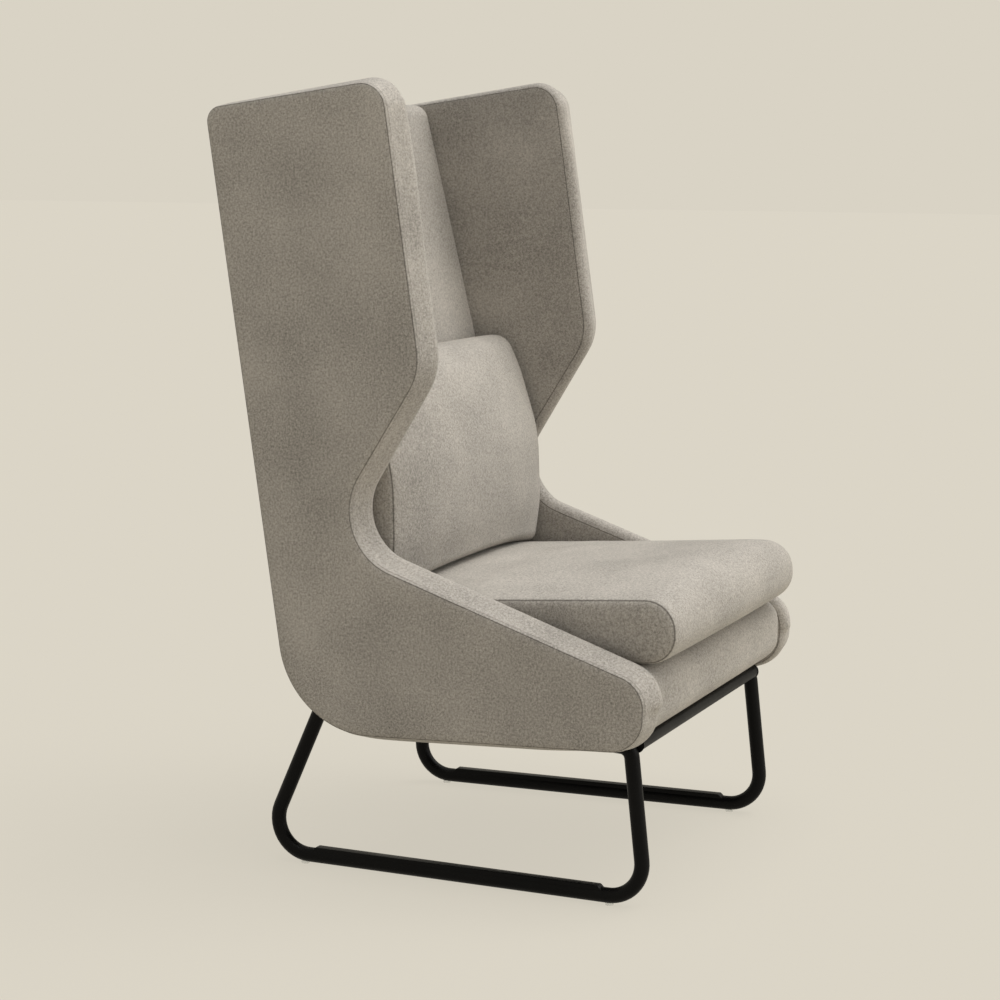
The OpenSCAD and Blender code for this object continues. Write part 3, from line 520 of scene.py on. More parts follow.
# Back. A moulded plywood back carries a deep foam pad in front and thin wadding behind, in two
# pieces of wool that meet in a seam along the top and tuck in beside the wings.
TUCK_MM = 0.3
BACK_PROUD_MM = 3
PAD_LEAN = math.radians(13.4)
PAD_BEND_DROP_MM = 2
BACK_BEND_MM = 109
PAD_TOP_R_MM = 28
PAD_BEND_R_MM = 260
REAR_TOP_R_MM = 25
BACK_HEEL_R_MM = 98
SEAT_FALL = math.radians(4.2)
CUSHION_LIFT_MM = 23
CUSHION_OUT_MM = 32
RAIL_RISE = math.radians(2.5)
FRAME_FRONT_MM = 45
FRAME_H_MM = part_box("front_rail")[0].z / MM
REAR_START_MM = 3
BACK_THICK_MM = 30
BACK_CROWN_MM = 2
WADDING_MM = 9
PAD_STEP_MM = 8
ACROSS_STEP_MM = 24
CROWN_POWER = 2.6
END_SINK_MM = 2.2
PAD_UNEVEN_PER_M = 8
PAD_UNEVEN_MM = (0.6, 0.4)
PAD_UNEVEN_APART = Vector((5, 1, 2))
TUCK_SINK_MM = ((0, -6), (0.8, -4.4), (2, -3), (4, -1.9), (7, -1.1), (12, -0.5), (20, -0.15),
                (32, 0), (400, 0))
TUCK_STATIONS_MM = (0, 0.8, 2, 4, 7, 12, 20, 32)
half_width = INNER_X_MM - TUCK_MM


def across_stations(half, edge, step):
    """Places across the chair, close together near both sides."""
    inner = half - edge[-1]
    count = math.ceil(2 * inner / step)
    middle = [-inner + 2 * inner * k / count for k in range(1, count)]
    return [-half + e for e in edge] + middle + [half - e for e in reversed(edge)]


def crown_at(share):
    """How much of a crown is left at a share of the way from the middle to the side."""
    return 1 - abs(share) ** CROWN_POWER


def strip_piece(name, ring, thick, nodes, crown=0):
    """A padded strip across the chair: its outline in the side plane, and its thickness."""
    length = [0]
    for i in range(len(ring) - 1):
        length.append(length[-1] + (ring[i + 1][0] - ring[i][0]).length)
    total = length[-1]
    back = [p - n * thick for p, n, s in reversed(ring)]
    rings = []
    for x in across_stations(half_width, TUCK_STATIONS_MM, ACROSS_STEP_MM):
        deep = curve_through(TUCK_SINK_MM, half_width - abs(x))
        swell = crown * crown_at(x / half_width)
        points = []
        for (p, n, s), along in zip(ring, length):
            end = curve_through(SEAM_SINK_MM, min(along, total - along))
            end *= END_SINK_MM / SEAM_DEEP_MM
            points.append(p + n * (deep + end + swell * math.sin(math.pi * along / total)))
        rings.append([placed(x, p) for p in points + back])
    mesh, work, caps = lofted(name, rings)
    back_mm, up_mm = PAD_UNEVEN_MM
    for vertex in work.verts:
        place = vertex.co
        place.y += noise.noise(place * PAD_UNEVEN_PER_M) * back_mm * MM
        place.z += noise.noise(place * PAD_UNEVEN_PER_M + PAD_UNEVEN_APART) * up_mm * MM
    piece = as_piece(name, mesh, work, wool_cloth, "chair", nodes)


back_edge = wing_rear_top + wing_back * BACK_PROUD_MM
top_edge = wing_rear_top + wing_way * BACK_PROUD_MM
back_top = meeting(top_edge, wing_back, back_edge, wing_way)
bend_level = Vector((0, knee.y - PAD_BEND_DROP_MM))
pad_bend = meeting(back_edge, wing_way, bend_level, Vector((1, 0))) - Vector((BACK_BEND_MM, 0))
pad_top = meeting(pad_bend, ahead(math.pi / 2 - PAD_LEAN), top_edge, wing_back)
cushion_corner = Vector((-CUSHION_OUT_MM, nose_top.y + CUSHION_LIFT_MM))
seat_way = ahead(-SEAT_FALL)
seat_up = ahead(math.pi / 2 - SEAT_FALL)
rail_way = ahead(RAIL_RISE)
pad_foot = meeting(pad_bend, wing_way, cushion_corner, seat_way)
back_heel = meeting(back_edge, wing_way, Vector((FRAME_FRONT_MM, FRAME_H_MM)), rail_way)
rear_start = Vector((pad_foot.x + REAR_START_MM, 0))
back_under = meeting(back_heel, rail_way, rear_start, Vector((0, 1)))
top_mid = (back_top + pad_top) / 2

pad_ring = outline([top_mid, pad_top, pad_bend, pad_foot], (0, PAD_TOP_R_MM, PAD_BEND_R_MM, 0),
                   step=PAD_STEP_MM, closed=False)
rear_ring = outline([back_under, back_heel, back_top, top_mid],
                    (0, BACK_HEEL_R_MM, REAR_TOP_R_MM, 0), step=PAD_STEP_MM, closed=False)
strip_piece("back_pad", pad_ring, BACK_THICK_MM, ["back_foam", "back_cover"],
            crown=BACK_CROWN_MM)
strip_piece("rear_upholstery", rear_ring, WADDING_MM, ["rear_wadding", "rear_cover"])

# Front roll. The seat frame's front is a soft roll of foam between the arms' noses, in one piece
# of wool that is pulled under the frame.
ROLL_TOP_R_MM = 40
ROLL_LOW_R_MM = 44
ROLL_LAP_MM = 40
ROLL_UNDER_MM = 8
ROLL_THICK_MM = 12
ROLL_CROWN_MM = 1.5
ROLL_STEP_MM = 6
DECK_GAP_MM = 0.4


def deck_point(y):
    """A point of the deck's top, just under the seat cushion."""
    drop = (y - cushion_corner.x) * math.tan(SEAT_FALL)
    return Vector((y, cushion_corner.y - drop - DECK_GAP_MM / math.cos(SEAT_FALL)))


roll_rear = deck_point(FRAME_FRONT_MM + ROLL_LAP_MM)
roll_top = meeting(roll_rear, seat_way, Vector((0, 0)), Vector((0, 1)))
roll_low_h = FRAME_H_MM - FRAME_FRONT_MM * math.tan(RAIL_RISE) + ROLL_UNDER_MM
roll_ring = outline(
    [roll_rear, roll_top, Vector((0, roll_low_h)), Vector((FRAME_FRONT_MM, roll_low_h))],
    (0, ROLL_TOP_R_MM, ROLL_LOW_R_MM, 0), step=ROLL_STEP_MM, closed=False)
strip_piece("front_roll", roll_ring, ROLL_THICK_MM, ["front_roll_foam", "front_roll_cover"],
            crown=ROLL_CROWN_MM)

# Seat deck. Under the loose cushion the webbing carries a thin pad in the same wool, which runs
# from the front roll back to the foot of the back pad. Its sides are rounded over.
DECK_PAD_MM = 14
DECK_FRONT_GAP_MM = 0.3
DECK_REAR_GAP_MM = 1
DECK_ROUNDS_MM = (3, 4, 4, 3)
DECK_STEP_MM = 12
DECK_STATIONS_MM = (0, 0.8, 2, 4, 8)
DECK_SIDE_SINK_MM = 3
DECK_SIDE_FADE_MM = 2


def deck(name):
    ends = [deck_point(roll_rear.x + DECK_FRONT_GAP_MM), deck_point(pad_foot.x - DECK_REAR_GAP_MM)]
    low_ends = [p - seat_up * DECK_PAD_MM for p in ends]
    ring = outline(low_ends + ends[::-1], DECK_ROUNDS_MM, step=DECK_STEP_MM)
    rings = []
    for x in across_stations(half_width, DECK_STATIONS_MM, ACROSS_STEP_MM):
        deep = -DECK_SIDE_SINK_MM * math.exp(-(half_width - abs(x)) / DECK_SIDE_FADE_MM)
        rings.append([placed(x, p) for p in pushed(ring, deep)])
    mesh, work, caps = lofted(name, rings)
    nodes = ["deck_pad", "deck_cover"]
    piece = as_piece(name, mesh, work, wool_cloth, "chair", nodes)


deck("seat_deck")

# Seat cushion. A loose foam cushion in wool: one wrap runs over its top, front and bottom, and a
# boxed panel closes each side, sewn in with a plain seam. It is crowned and drawn in at its sides.
CUSHION_MM = 106
CUSHION_NOSE_R_MM = 50
CUSHION_REAR_R_MM = 18
CUSHION_CLEAR_MM = 10
CUSHION_REAR_GAP_MM = 3
CUSHION_CROWN_MM = 18
CUSHION_NOSE_OUT_MM = 8
CUSHION_PULL_MM = 4
CUSHION_STEP_MM = 9
SIDE_HOLD = 0.85
SEAM_HOLD_MM = (1, 14)
REAR_HOLD_MM = (190, 60)
UNDER_HOLD = (0.3, 0.5)
SWELL_CAP_MM = 7
SWELL_FRAMES = 20
CUSHION_CLOTH = (
    ("quality", 6), ("mass", 0.3), ("tension_stiffness", 18), ("compression_stiffness", 18),
    ("shear_stiffness", 6), ("bending_stiffness", 1.2), ("use_pressure", True),
    ("uniform_pressure_force", 4))
WRAP_STATIONS_MM = (0, 0.6, 1.3, 2.3, 4, 7, 12, 18)
WRAP_SINK_MM = ((0, -3.2), (0.6, -2.5), (1.3, -1.9), (2.3, -1.5), (4, -1.1), (7, -0.6),
                (12, -0.25), (18, 0), (999, 0))
SIDE_STATIONS_MM = (0.6, 1.4, 2.6, 4.5, 7.5, 12, 18, 25, 33, 41, 48)
SIDE_RISE_MM = ((0, 0), (0.6, 0.5), (1.4, 1.2), (2.6, 2.0), (4.5, 2.9), (7.5, 3.9), (12, 4.8),
                (18, 5.6), (25, 6.2), (33, 6.5), (999, 6.5))
cushion_half = INNER_X_MM - CUSHION_CLEAR_MM
cushion_len = (pad_foot.x - cushion_corner.x) / math.cos(SEAT_FALL) - CUSHION_REAR_GAP_MM


def held_in(value):
    return min(1, max(0, value))


def cushion_rings(ring, half, shape):
    """Rings of a boxed cushion: its right side, its wrap and its left side, and the way from the
    nearest seam at each, negative on the sides."""
    middle = sum((p for p, n, s in ring), Vector((0, 0))) / len(ring)
    long_half = max(abs((p - middle).x) for p, n, s in ring)
    high_half = max(abs((p - middle).y) for p, n, s in ring)
    seam_sink = WRAP_SINK_MM[0][1]

    def side_row(side, station):
        rise = curve_through(SIDE_RISE_MM, station)
        row = []
        for p, n, s in ring:
            off = p + n * seam_sink - middle
            spot = middle + Vector((off.x * (1 - station / long_half),
                                    off.y * (1 - station / high_half)))
            q, x = shape(spot, Vector((0, 0)), side, 0)
            row.append(placed(x + side * rise, q))
        return row

    sides = {side: [side_row(side, station) for station in SIDE_STATIONS_MM] for side in (-1, 1)}
    rings = list(reversed(sides[-1]))
    across = [-station for station in reversed(SIDE_STATIONS_MM)]
    for x in across_stations(half, WRAP_STATIONS_MM, CUSHION_STEP_MM):
        from_side = half - abs(x)
        sink = curve_through(WRAP_SINK_MM, from_side)
        places = [shape(p, n, x / half, sink) for p, n, s in ring]
        rings.append([placed(place, q) for q, place in places])
        across.append(from_side)
    return rings + sides[1], across + [-station for station in SIDE_STATIONS_MM]


def relaxed(piece, pinned):
    """Blows a cushion up as cloth over foam: pinned tells how far each point is held."""
    mesh = piece.data
    before = [v.co.copy() for v in mesh.vertices]
    held = piece.vertex_groups.new(name="held")
    for i, weight in enumerate(pinned):
        held.add([i], weight, "REPLACE")
    cloth = piece.modifiers.new("cloth", "CLOTH")
    for key, value in CUSHION_CLOTH:
        setattr(cloth.settings, key, value)
    cloth.settings.effector_weights.gravity = 0
    cloth.settings.vertex_group_mass = "held"
    cloth.settings.pin_stiffness = 1
    cloth.collision_settings.use_collision = False
    cloth.point_cache.frame_start = 1
    cloth.point_cache.frame_end = SWELL_FRAMES
    scene = bpy.context.scene
    for moment in range(1, SWELL_FRAMES + 1):
        scene.frame_set(moment)
        bpy.context.view_layer.update()
    shaped = piece.evaluated_get(bpy.context.evaluated_depsgraph_get()).to_mesh()
    after = [v.co.copy() for v in shaped.vertices]
    piece.modifiers.remove(cloth)
    scene.frame_set(1)
    for vertex, old, new, weight in zip(mesh.vertices, before, after, pinned):
        move = (new - old) * (1 - weight)
        if move.length > SWELL_CAP_MM * MM:
            move *= SWELL_CAP_MM * MM / move.length
        vertex.co = old + move
    piece.vertex_groups.remove(held)


def only(piece=None):
    """Selects one piece alone, or nothing."""
    bpy.ops.object.select_all(action="DESELECT")
    if piece:
        piece.select_set(True)
        bpy.context.view_layer.objects.active = piece


def boxed_cushion(name, ring, shape, nodes, body, hold):
    """A cushion with boxed sides, swelled as cloth and subdivided once, so it has no facets."""
    rings, across = cushion_rings(ring, cushion_half, shape)
    seams = (len(SIDE_STATIONS_MM), len(rings) - len(SIDE_STATIONS_MM) - 1)
    mesh, work, caps = lofted(name, rings, seams)
    bmesh.ops.triangulate(work, faces=caps)
    piece = as_piece(name, mesh, work, wool_cloth, body, nodes)
    pinned = []
    full, fade = SEAM_HOLD_MM
    for way in across:
        by_seam = 1 - held_in((abs(way) - full) / fade)
        by_side = SIDE_HOLD if way < 0 else 0
        pinned += [max(hold(p, n), by_seam, by_side) for p, n, s in ring]
    relaxed(piece, pinned)
    finish = piece.modifiers.new("finish", "SUBSURF")
    finish.levels = finish.render_levels = 1
    finish.use_limit_surface = False
    only(piece)
    bpy.ops.object.modifier_apply(modifier=finish.name)
    piece.select_set(False)


def seat_shape(p, n, share, sink):
    """Where a point of the seat cushion's outline lies at a share of its half width."""
    k = crown_at(share)
    along = p.x + sink * n.x + CUSHION_NOSE_OUT_MM * k * min(0, n.x)
    up = p.y + sink * n.y + CUSHION_CROWN_MM * k * max(0, n.y)
    drawn_in = CUSHION_PULL_MM * math.sin(math.pi * held_in(p.x / cushion_len))
    return cushion_corner + seat_way * along + seat_up * up, share * (cushion_half - drawn_in)


def seat_hold(p, n):
    """How far the deck and the back pad hold a point of the cushion."""
    full, fade = UNDER_HOLD
    under = 1 if n.y < -full else max(0, 1 - (n.y + full) / fade)
    full, fade = REAR_HOLD_MM
    return max(under, held_in((p.x - (cushion_len - full)) / fade))


seat_ring = outline([Vector((0, 0)), Vector((cushion_len, 0)), Vector((cushion_len, CUSHION_MM)),
                     Vector((0, CUSHION_MM))],
                    (CUSHION_NOSE_R_MM, CUSHION_REAR_R_MM, CUSHION_REAR_R_MM, CUSHION_NOSE_R_MM),
                    step=PAD_STEP_MM)
boxed_cushion(
    "seat_cushion_upholstery", seat_ring, seat_shape,
    ["seat_cushion_core", "seat_cushion_cover", "seat_cushion_left_side", "seat_cushion_right_side"],
    "seat_cushion", hold=seat_hold)

# Lumbar cushion. A second loose cushion leans on the back pad and stands on the seat cushion. Its
# front is full and curved, its top is thin, and its sides are boxed like the seat's.
LUMBAR_H_MM = 388
LUMBAR_MM = 98
LUMBAR_CROWN_MM = 26
LUMBAR_SHARES = ((0.70, 0), (0.94, 0.19), (1.09, 0.52), (0.88, 0.82), (0.66, 1))
LUMBAR_ROUNDS_MM = (16, 16, 38, 220, 300, 300, 20)
LUMBAR_TOP_OUT_MM = 2
LUMBAR_PULL_MM = 5
LUMBAR_GAP_MM = 0.6
LUMBAR_REAR_HOLD = (0.3, 0.4)
LUMBAR_FOOT_HOLD_MM = (5, 50)
FOOT_FADE_MM = 130
lumbar_foot = meeting(cushion_corner + seat_up * (CUSHION_MM + LUMBAR_GAP_MM), seat_way,
                      pad_bend - Vector((LUMBAR_GAP_MM, 0)), wing_way)
foot_fall = math.tan(LEAN - SEAT_FALL)
lumbar_front = [
    Vector((-a * LUMBAR_MM, b * LUMBAR_H_MM if b else -a * LUMBAR_MM * foot_fall))
    for a, b in reversed(LUMBAR_SHARES)]
lumbar_ring = outline([Vector((0, 0)), Vector((0, LUMBAR_H_MM))] + lumbar_front,
                      LUMBAR_ROUNDS_MM, step=PAD_STEP_MM)


def lumbar_shape(p, n, share, sink):
    """Where a point of the lumbar cushion's outline lies at a share of its half width. Its foot
    is lifted over the seat cushion's crown."""
    k = crown_at(share)
    along = p.x + sink * n.x + LUMBAR_CROWN_MM * k * min(0, n.x)
    lift = CUSHION_CROWN_MM / math.cos(LEAN + SEAT_FALL) * held_in(1 - p.y / FOOT_FADE_MM)
    up = p.y + sink * n.y + k * (LUMBAR_TOP_OUT_MM * max(0, n.y) + lift)
    drawn_in = LUMBAR_PULL_MM * math.sin(math.pi * held_in(p.y / LUMBAR_H_MM))
    return lumbar_foot + wing_back * along + wing_way * up, share * (cushion_half - drawn_in)


def lumbar_hold(p, n):
    """How far the back pad and the seat cushion hold a point of the cushion."""
    full, fade = LUMBAR_REAR_HOLD
    rear = 1 if n.x > full else max(0, 1 - (full - n.x) / fade)
    full, fade = LUMBAR_FOOT_HOLD_MM
    return max(rear, held_in(1 - (p.y - full) / fade))


boxed_cushion(
    "lumbar_cushion_upholstery", lumbar_ring, lumbar_shape,
    ["lumbar_core", "lumbar_cover", "lumbar_left_side", "lumbar_right_side"],
    "lumbar_cushion", hold=lumbar_hold)

# Sled base. Each side is one closed loop of steel tube, drawn round four bends and welded shut
# under the seat. The whole base is powder coated black.
TUBE_R_MM = 12.5
LOOP_INSET_MM = 26.6
LOOP_TOE = math.radians(1.7)
SLED_FRONT_MM = 22
SLED_LEN_MM = 707
FRONT_RAKE = math.radians(6.2)
REAR_RAKE = math.radians(24.3)
BEND_R_MM = 58
TOP_BEND_R_MM = 19
RAIL_FRONT_H_MM = 264
GLIDE_MM = 3
TUBE_SIDES = 40
BEND_STEPS = 14
SMOOTH_BELOW = math.radians(40)
WELDED_SHUT_M = 1e-5
COAT_DARK = (0.0030, 0.0029, 0.0029, 1)
COAT_DUSTY = (0.0060, 0.0058, 0.0057, 1)
COAT_ROUGH = (0.36, 0.48)
COAT_GLOSS = 0.1
DUST_PER_M = 9
DUST_SPAN = (0.35, 0.75)
PEEL_PER_M = 1500
PEEL_STRENGTH = 0.25
PEEL_MM = 0.2
run_h = GLIDE_MM + TUBE_R_MM
foot_front = Vector((SLED_FRONT_MM, run_h))
foot_rear = Vector((SLED_FRONT_MM + SLED_LEN_MM, run_h))
leg_way = ahead(math.pi / 2 - FRONT_RAKE)
rail_front = foot_front + leg_way * ((RAIL_FRONT_H_MM - run_h) / math.cos(FRONT_RAKE))
rail_rear = meeting(rail_front, rail_way, foot_rear, ahead(math.pi / 2 + REAR_RAKE))
loop_mid_y = (foot_front.x + foot_rear.x) / 2
loop_half = INNER_X_MM - LOOP_INSET_MM


def in_loop(off, p):
    """A point of the left loop's own plane, off it by so much, as a place in the chair."""
    y = p.x - loop_mid_y
    x = loop_half + off * math.cos(LOOP_TOE) - y * math.sin(LOOP_TOE)
    back = loop_mid_y + y * math.cos(LOOP_TOE) + off * math.sin(LOOP_TOE)
    return placed(x, Vector((back, p.y)))


def powder_coat(name):
    """Black powder coat: a fine orange peel, and a little dust in its colour."""
    material, tree, surface = new_material(name)
    place = here_on(tree)
    peel = clouds(tree, place, PEEL_PER_M, 1.0).outputs["Fac"]
    dust = clouds(tree, place, DUST_PER_M, 5.0, 0.65).outputs["Fac"]
    colour = mixed(tree, ranged(tree, dust, (0, 1), DUST_SPAN), COAT_DARK, COAT_DUSTY)
    coated(tree, surface, colour, ranged(tree, dust, COAT_ROUGH, NOISE_SPAN), peel,
           PEEL_STRENGTH, PEEL_MM * MM)
    surface.inputs["Specular IOR Level"].default_value = COAT_GLOSS
    return material


black_coat = powder_coat("black_powder_coat")


def tube_end(place, way):
    """Starts a tube as one open ring of points that faces along way."""
    only()
    bpy.ops.mesh.primitive_circle_add(vertices=TUBE_SIDES, radius=TUBE_R_MM * MM, location=place,
                                      rotation=way.to_track_quat("Z", "Y").to_euler())
    bpy.ops.object.mode_set(mode="EDIT")


def drawn(step):
    bpy.ops.mesh.extrude_region_move(TRANSFORM_OT_translate={"value": step})


def welded(name):
    """Ends the shaping: merges what meets, turns the faces out, puts the place in the mesh."""
    bpy.ops.mesh.select_all(action="SELECT")
    bpy.ops.mesh.remove_doubles(threshold=WELDED_SHUT_M)
    bpy.ops.mesh.normals_make_consistent(inside=False)
    bpy.ops.object.mode_set(mode="OBJECT")
    piece = bpy.context.active_object
    bpy.ops.object.transform_apply(location=True, rotation=True, scale=True)
    bpy.ops.object.shade_smooth_by_angle(angle=SMOOTH_BELOW)
    piece.name = piece.data.name = name
    return piece


def mirrored(piece, name):
    """The same piece for the chair's other side, with its own mesh."""
    only(piece)
    bpy.ops.object.duplicate()
    bpy.context.active_object.scale.x = -1
    bpy.ops.object.mode_set(mode="EDIT")
    return welded(name)


def fitted(piece, material, node):
    """Gives a rigid piece of the chair its finish and its place in the frame."""
    piece.data.materials.append(material)
    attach(piece, "chair")
    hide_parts(node)


def sled_loop(name):
    """The left loop: drawn along each straight run and spun round each bend."""
    corners = [rail_front, foot_front, foot_rear, rail_rear]
    radii = [TOP_BEND_R_MM, BEND_R_MM, BEND_R_MM, TOP_BEND_R_MM]
    here = start = (rail_front + rail_rear) / 2
    axis = in_loop(1, here) - in_loop(0, here)
    tube_end(in_loop(0, here), in_loop(0, rail_front) - in_loop(0, here))
    for i, (corner, radius) in enumerate(zip(corners, radii)):
        u = (corners[i - 1] - corner).normalized()
        v = (corners[(i + 1) % len(corners)] - corner).normalized()
        half = u.angle(v) / 2
        bend_start = corner + u * (radius / math.tan(half))
        centre = corner + (u + v).normalized() * (radius / math.sin(half))
        drawn(in_loop(0, bend_start) - in_loop(0, here))
        bpy.ops.mesh.spin(steps=BEND_STEPS, angle=2 * half - math.pi, center=in_loop(0, centre),
                          axis=axis)
        here = corner + v * (radius / math.tan(half))
    drawn(in_loop(0, start) - in_loop(0, here))
    return welded(name)


left_loop = sled_loop("left_sled_loop")
for loop, word in ((left_loop, "left"), (mirrored(left_loop, "right_sled_loop"), "right")):
    fitted(loop, black_coat, word + "_leg_loop")

# Cross members. Two straight tubes join the loops under the seat, one beside the front bends and
# one near the rear. Each end is coped round the loop and welded with a small bead.
WELD_IN_MM = 9
WELD_STEPS_MM = ((2, 0.1), (1, 0.35), (1, 0.9), (1, 1.4), (1, 1.6))


def cross_member(name, p):
    """Half a tube, drawn from the chair's middle out to its weld, and mirrored."""
    loop_x = loop_half - (p.x - loop_mid_y) * math.tan(LOOP_TOE)
    x = loop_x - WELD_IN_MM - sum(step for step, rise in WELD_STEPS_MM)
    radius = TUBE_R_MM
    tube_end(placed(0, p), Vector((1, 0, 0)))
    drawn((x * MM, 0, 0))
    for step, rise in WELD_STEPS_MM:
        x += step
        grown = (TUBE_R_MM + rise) / radius
        radius = TUBE_R_MM + rise
        drawn((step * MM, 0, 0))
        bpy.ops.transform.resize(value=(1, grown, grown), center_override=placed(x, p))
    bpy.ops.mesh.edge_face_add()
    bpy.ops.object.mode_set(mode="OBJECT")
    bpy.ops.object.transform_apply(location=True, rotation=True, scale=True)
    other_half = bpy.context.active_object.modifiers.new("other_half", "MIRROR")
    bpy.ops.object.modifier_apply(modifier=other_half.name)
    bpy.ops.object.mode_set(mode="EDIT")
    return welded(name)


for word in ("front", "rear"):
    node = word + "_cross_tube"
    low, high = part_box(node)
    middle = (low + high) / 2 / MM
    member = cross_member(word + "_cross_member", Vector((middle.y - BACK_MM, middle.z)))
    fitted(member, black_coat, node)

# Runner bars. A flat steel bar lies welded along the top of each loop's lower run, with sloped
# ends. Clear plastic glides sit under the run, one near each bend.
BAR_MM = 18
BAR_RISE_MM = 3.5
BAR_SLOPE_MM = 10
BAR_EDGE_MM = 1.6
BAR_EDGE_STEPS = 3


def picked(piece, test):
    """Selects the corners of the open piece that lie where test says."""
    bpy.ops.mesh.select_mode(type="VERT")
    bpy.ops.mesh.select_all(action="DESELECT")
    work = bmesh.from_edit_mesh(piece.data)
    for vertex in work.verts:
        vertex.select = bool(test(vertex.co))
    work.select_flush_mode()
    bmesh.update_edit_mesh(piece.data)


def block(place, turn, size):
    """Starts a piece as a block with its place in its mesh, open for shaping."""
    only()
    bpy.ops.mesh.primitive_cube_add(size=1, location=place, rotation=turn, scale=size)
    bpy.ops.object.transform_apply(location=True, rotation=True, scale=True)
    bpy.ops.object.mode_set(mode="EDIT")
    return bpy.context.active_object


def runner(name, node):
    """The left bar: a block with its upper ends drawn in and all its edges eased."""
    low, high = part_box(node)
    base = (run_h + TUBE_R_MM / 2) * MM
    top = (run_h + TUBE_R_MM + BAR_RISE_MM) * MM
    middle = Vector(((low.y + high.y) / 2 / MM - BACK_MM, (base + top) / 2 / MM))
    centre = in_loop(0, middle)
    bar = block(centre, (0, 0, LOOP_TOE), (BAR_MM * MM, high.y - low.y, top - base))
    along = in_loop(0, middle + Vector((BAR_SLOPE_MM, 0))) - centre
    for end in (-1, 1):
        picked(bar, lambda co: co.z > centre.z and (co.y - centre.y) * end > 0)
        bpy.ops.transform.translate(value=along * -end)
    bpy.ops.mesh.select_all(action="SELECT")
    bpy.ops.mesh.bevel(offset=BAR_EDGE_MM * MM, segments=BAR_EDGE_STEPS, affect="EDGES")
    return welded(name)


left_bar = runner("left_runner", "left_runner_bar")
for bar, word in ((left_bar, "left"), (mirrored(left_bar, "right_runner"), "right")):
    fitted(bar, black_coat, word + "_runner_bar")

# Webbing. Five elastic straps run from the front rail to the rear rail and carry the seat deck.
# They are woven of black rubber thread, stapled at both ends, and give a little in the middle.
STRAP_MM = 55
STRAP_THICK_MM = 2.3
STRAP_COUNT = 5
STRAP_SAG_MM = 4
STRAP_SAG_POWER = 0.7
STRAP_CUTS = 14
STRAP_EDGE_MM = 0.6
STRAP_EDGE_STEPS = 2
STRAP_LIGHT = (0.10, 0.10, 0.10, 1)
STRAP_DARK = (0.02, 0.02, 0.02, 1)
STRAP_WAVES_PER_M = 160
WEAVE_BENT = 0.6
WEAVE_ROUGH = (0.95, 0.8)
WEAVE_STRENGTH = 0.5
WEAVE_MM = 0.4


def plain_weave(name, light, dark, waves_per_m):
    """Thread that crosses at right angles."""
    material, tree, surface = new_material(name)
    place = here_on(tree)
    rows, columns = [
        add(tree, "TexWave", {"Vector": place, "Scale": waves_per_m, "Distortion": WEAVE_BENT},
            bands_direction=way).outputs["Fac"]
        for way in ("Y", "X")]
    cross = maths(tree, "MULTIPLY", rows, columns)
    coated(tree, surface, mixed(tree, cross, dark, light), ranged(tree, cross, WEAVE_ROUGH), cross,
           WEAVE_STRENGTH, WEAVE_MM * MM)
    return material


def straps(name):
    """One strap from rail to rail, sagged, with eased edges, and copied across the frame."""
    low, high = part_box("webbing")
    rail_low, rail_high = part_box("front_rail")
    length = (high.y - low.y) / math.cos(SEAT_FALL)
    pitch = (rail_high.x - rail_low.x) / STRAP_COUNT
    piece = block((0, (low.y + high.y) / 2, (low.z + high.z) / 2), (-SEAT_FALL, 0, 0),
                  (STRAP_MM * MM, length, STRAP_THICK_MM * MM))
    work = bmesh.from_edit_mesh(piece.data)
    for edge in work.edges:
        edge.select = abs(edge.verts[0].co.y - edge.verts[1].co.y) > length / 2
    bmesh.update_edit_mesh(piece.data)
    bpy.ops.mesh.subdivide(number_cuts=STRAP_CUTS)
    work = bmesh.from_edit_mesh(piece.data)
    for vertex in work.verts:
        share = (vertex.co.y - low.y) / (high.y - low.y)
        if 0 < share < 1:
            vertex.co.z -= STRAP_SAG_MM * MM * math.sin(math.pi * share) ** STRAP_SAG_POWER
    bmesh.update_edit_mesh(piece.data)
    bpy.ops.object.mode_set(mode="OBJECT")
    eased = piece.modifiers.new("eased", "BEVEL")
    eased.width = STRAP_EDGE_MM * MM
    eased.segments = STRAP_EDGE_STEPS
    bpy.ops.object.modifier_apply(modifier=eased.name)
    bpy.ops.transform.translate(value=(-pitch * (STRAP_COUNT - 1) / 2, 0, 0))
    bpy.ops.object.transform_apply(location=True)
    row = piece.modifiers.new("row", "ARRAY")
    row.count = STRAP_COUNT
    row.use_relative_offset = False
    row.use_constant_offset = True
    row.constant_offset_displace = (pitch, 0, 0)
    bpy.ops.object.modifier_apply(modifier=row.name)
    bpy.ops.object.mode_set(mode="EDIT")
    return welded(name)


elastic = plain_weave("elastic_webbing", STRAP_LIGHT, STRAP_DARK, STRAP_WAVES_PER_M)
fitted(straps("webbing_straps"), elastic, "webbing")

# Dust cloth. A thin black woven cloth closes the seat frame from below. It is cut out round the
# mounting plates, pulled tight and stapled to the rails, so it waves only a little.
DUST_CLOTH_MM = 0.7
DUST_STEP_MM = 14
DUST_WAVE_MM = 0.9
DUST_WAVES = (14, 9, 3)
DUST_WAVE_LOW = 0.4
DUST_FLAT_STEPS = 8
DUST_GAP_MM = 0.6
DUST_EDGE_MM = 1.5
DUST_LIGHT = (0.035, 0.035, 0.035, 1)
DUST_DARK = (0.012, 0.012, 0.012, 1)
DUST_WAVES_PER_M = 400


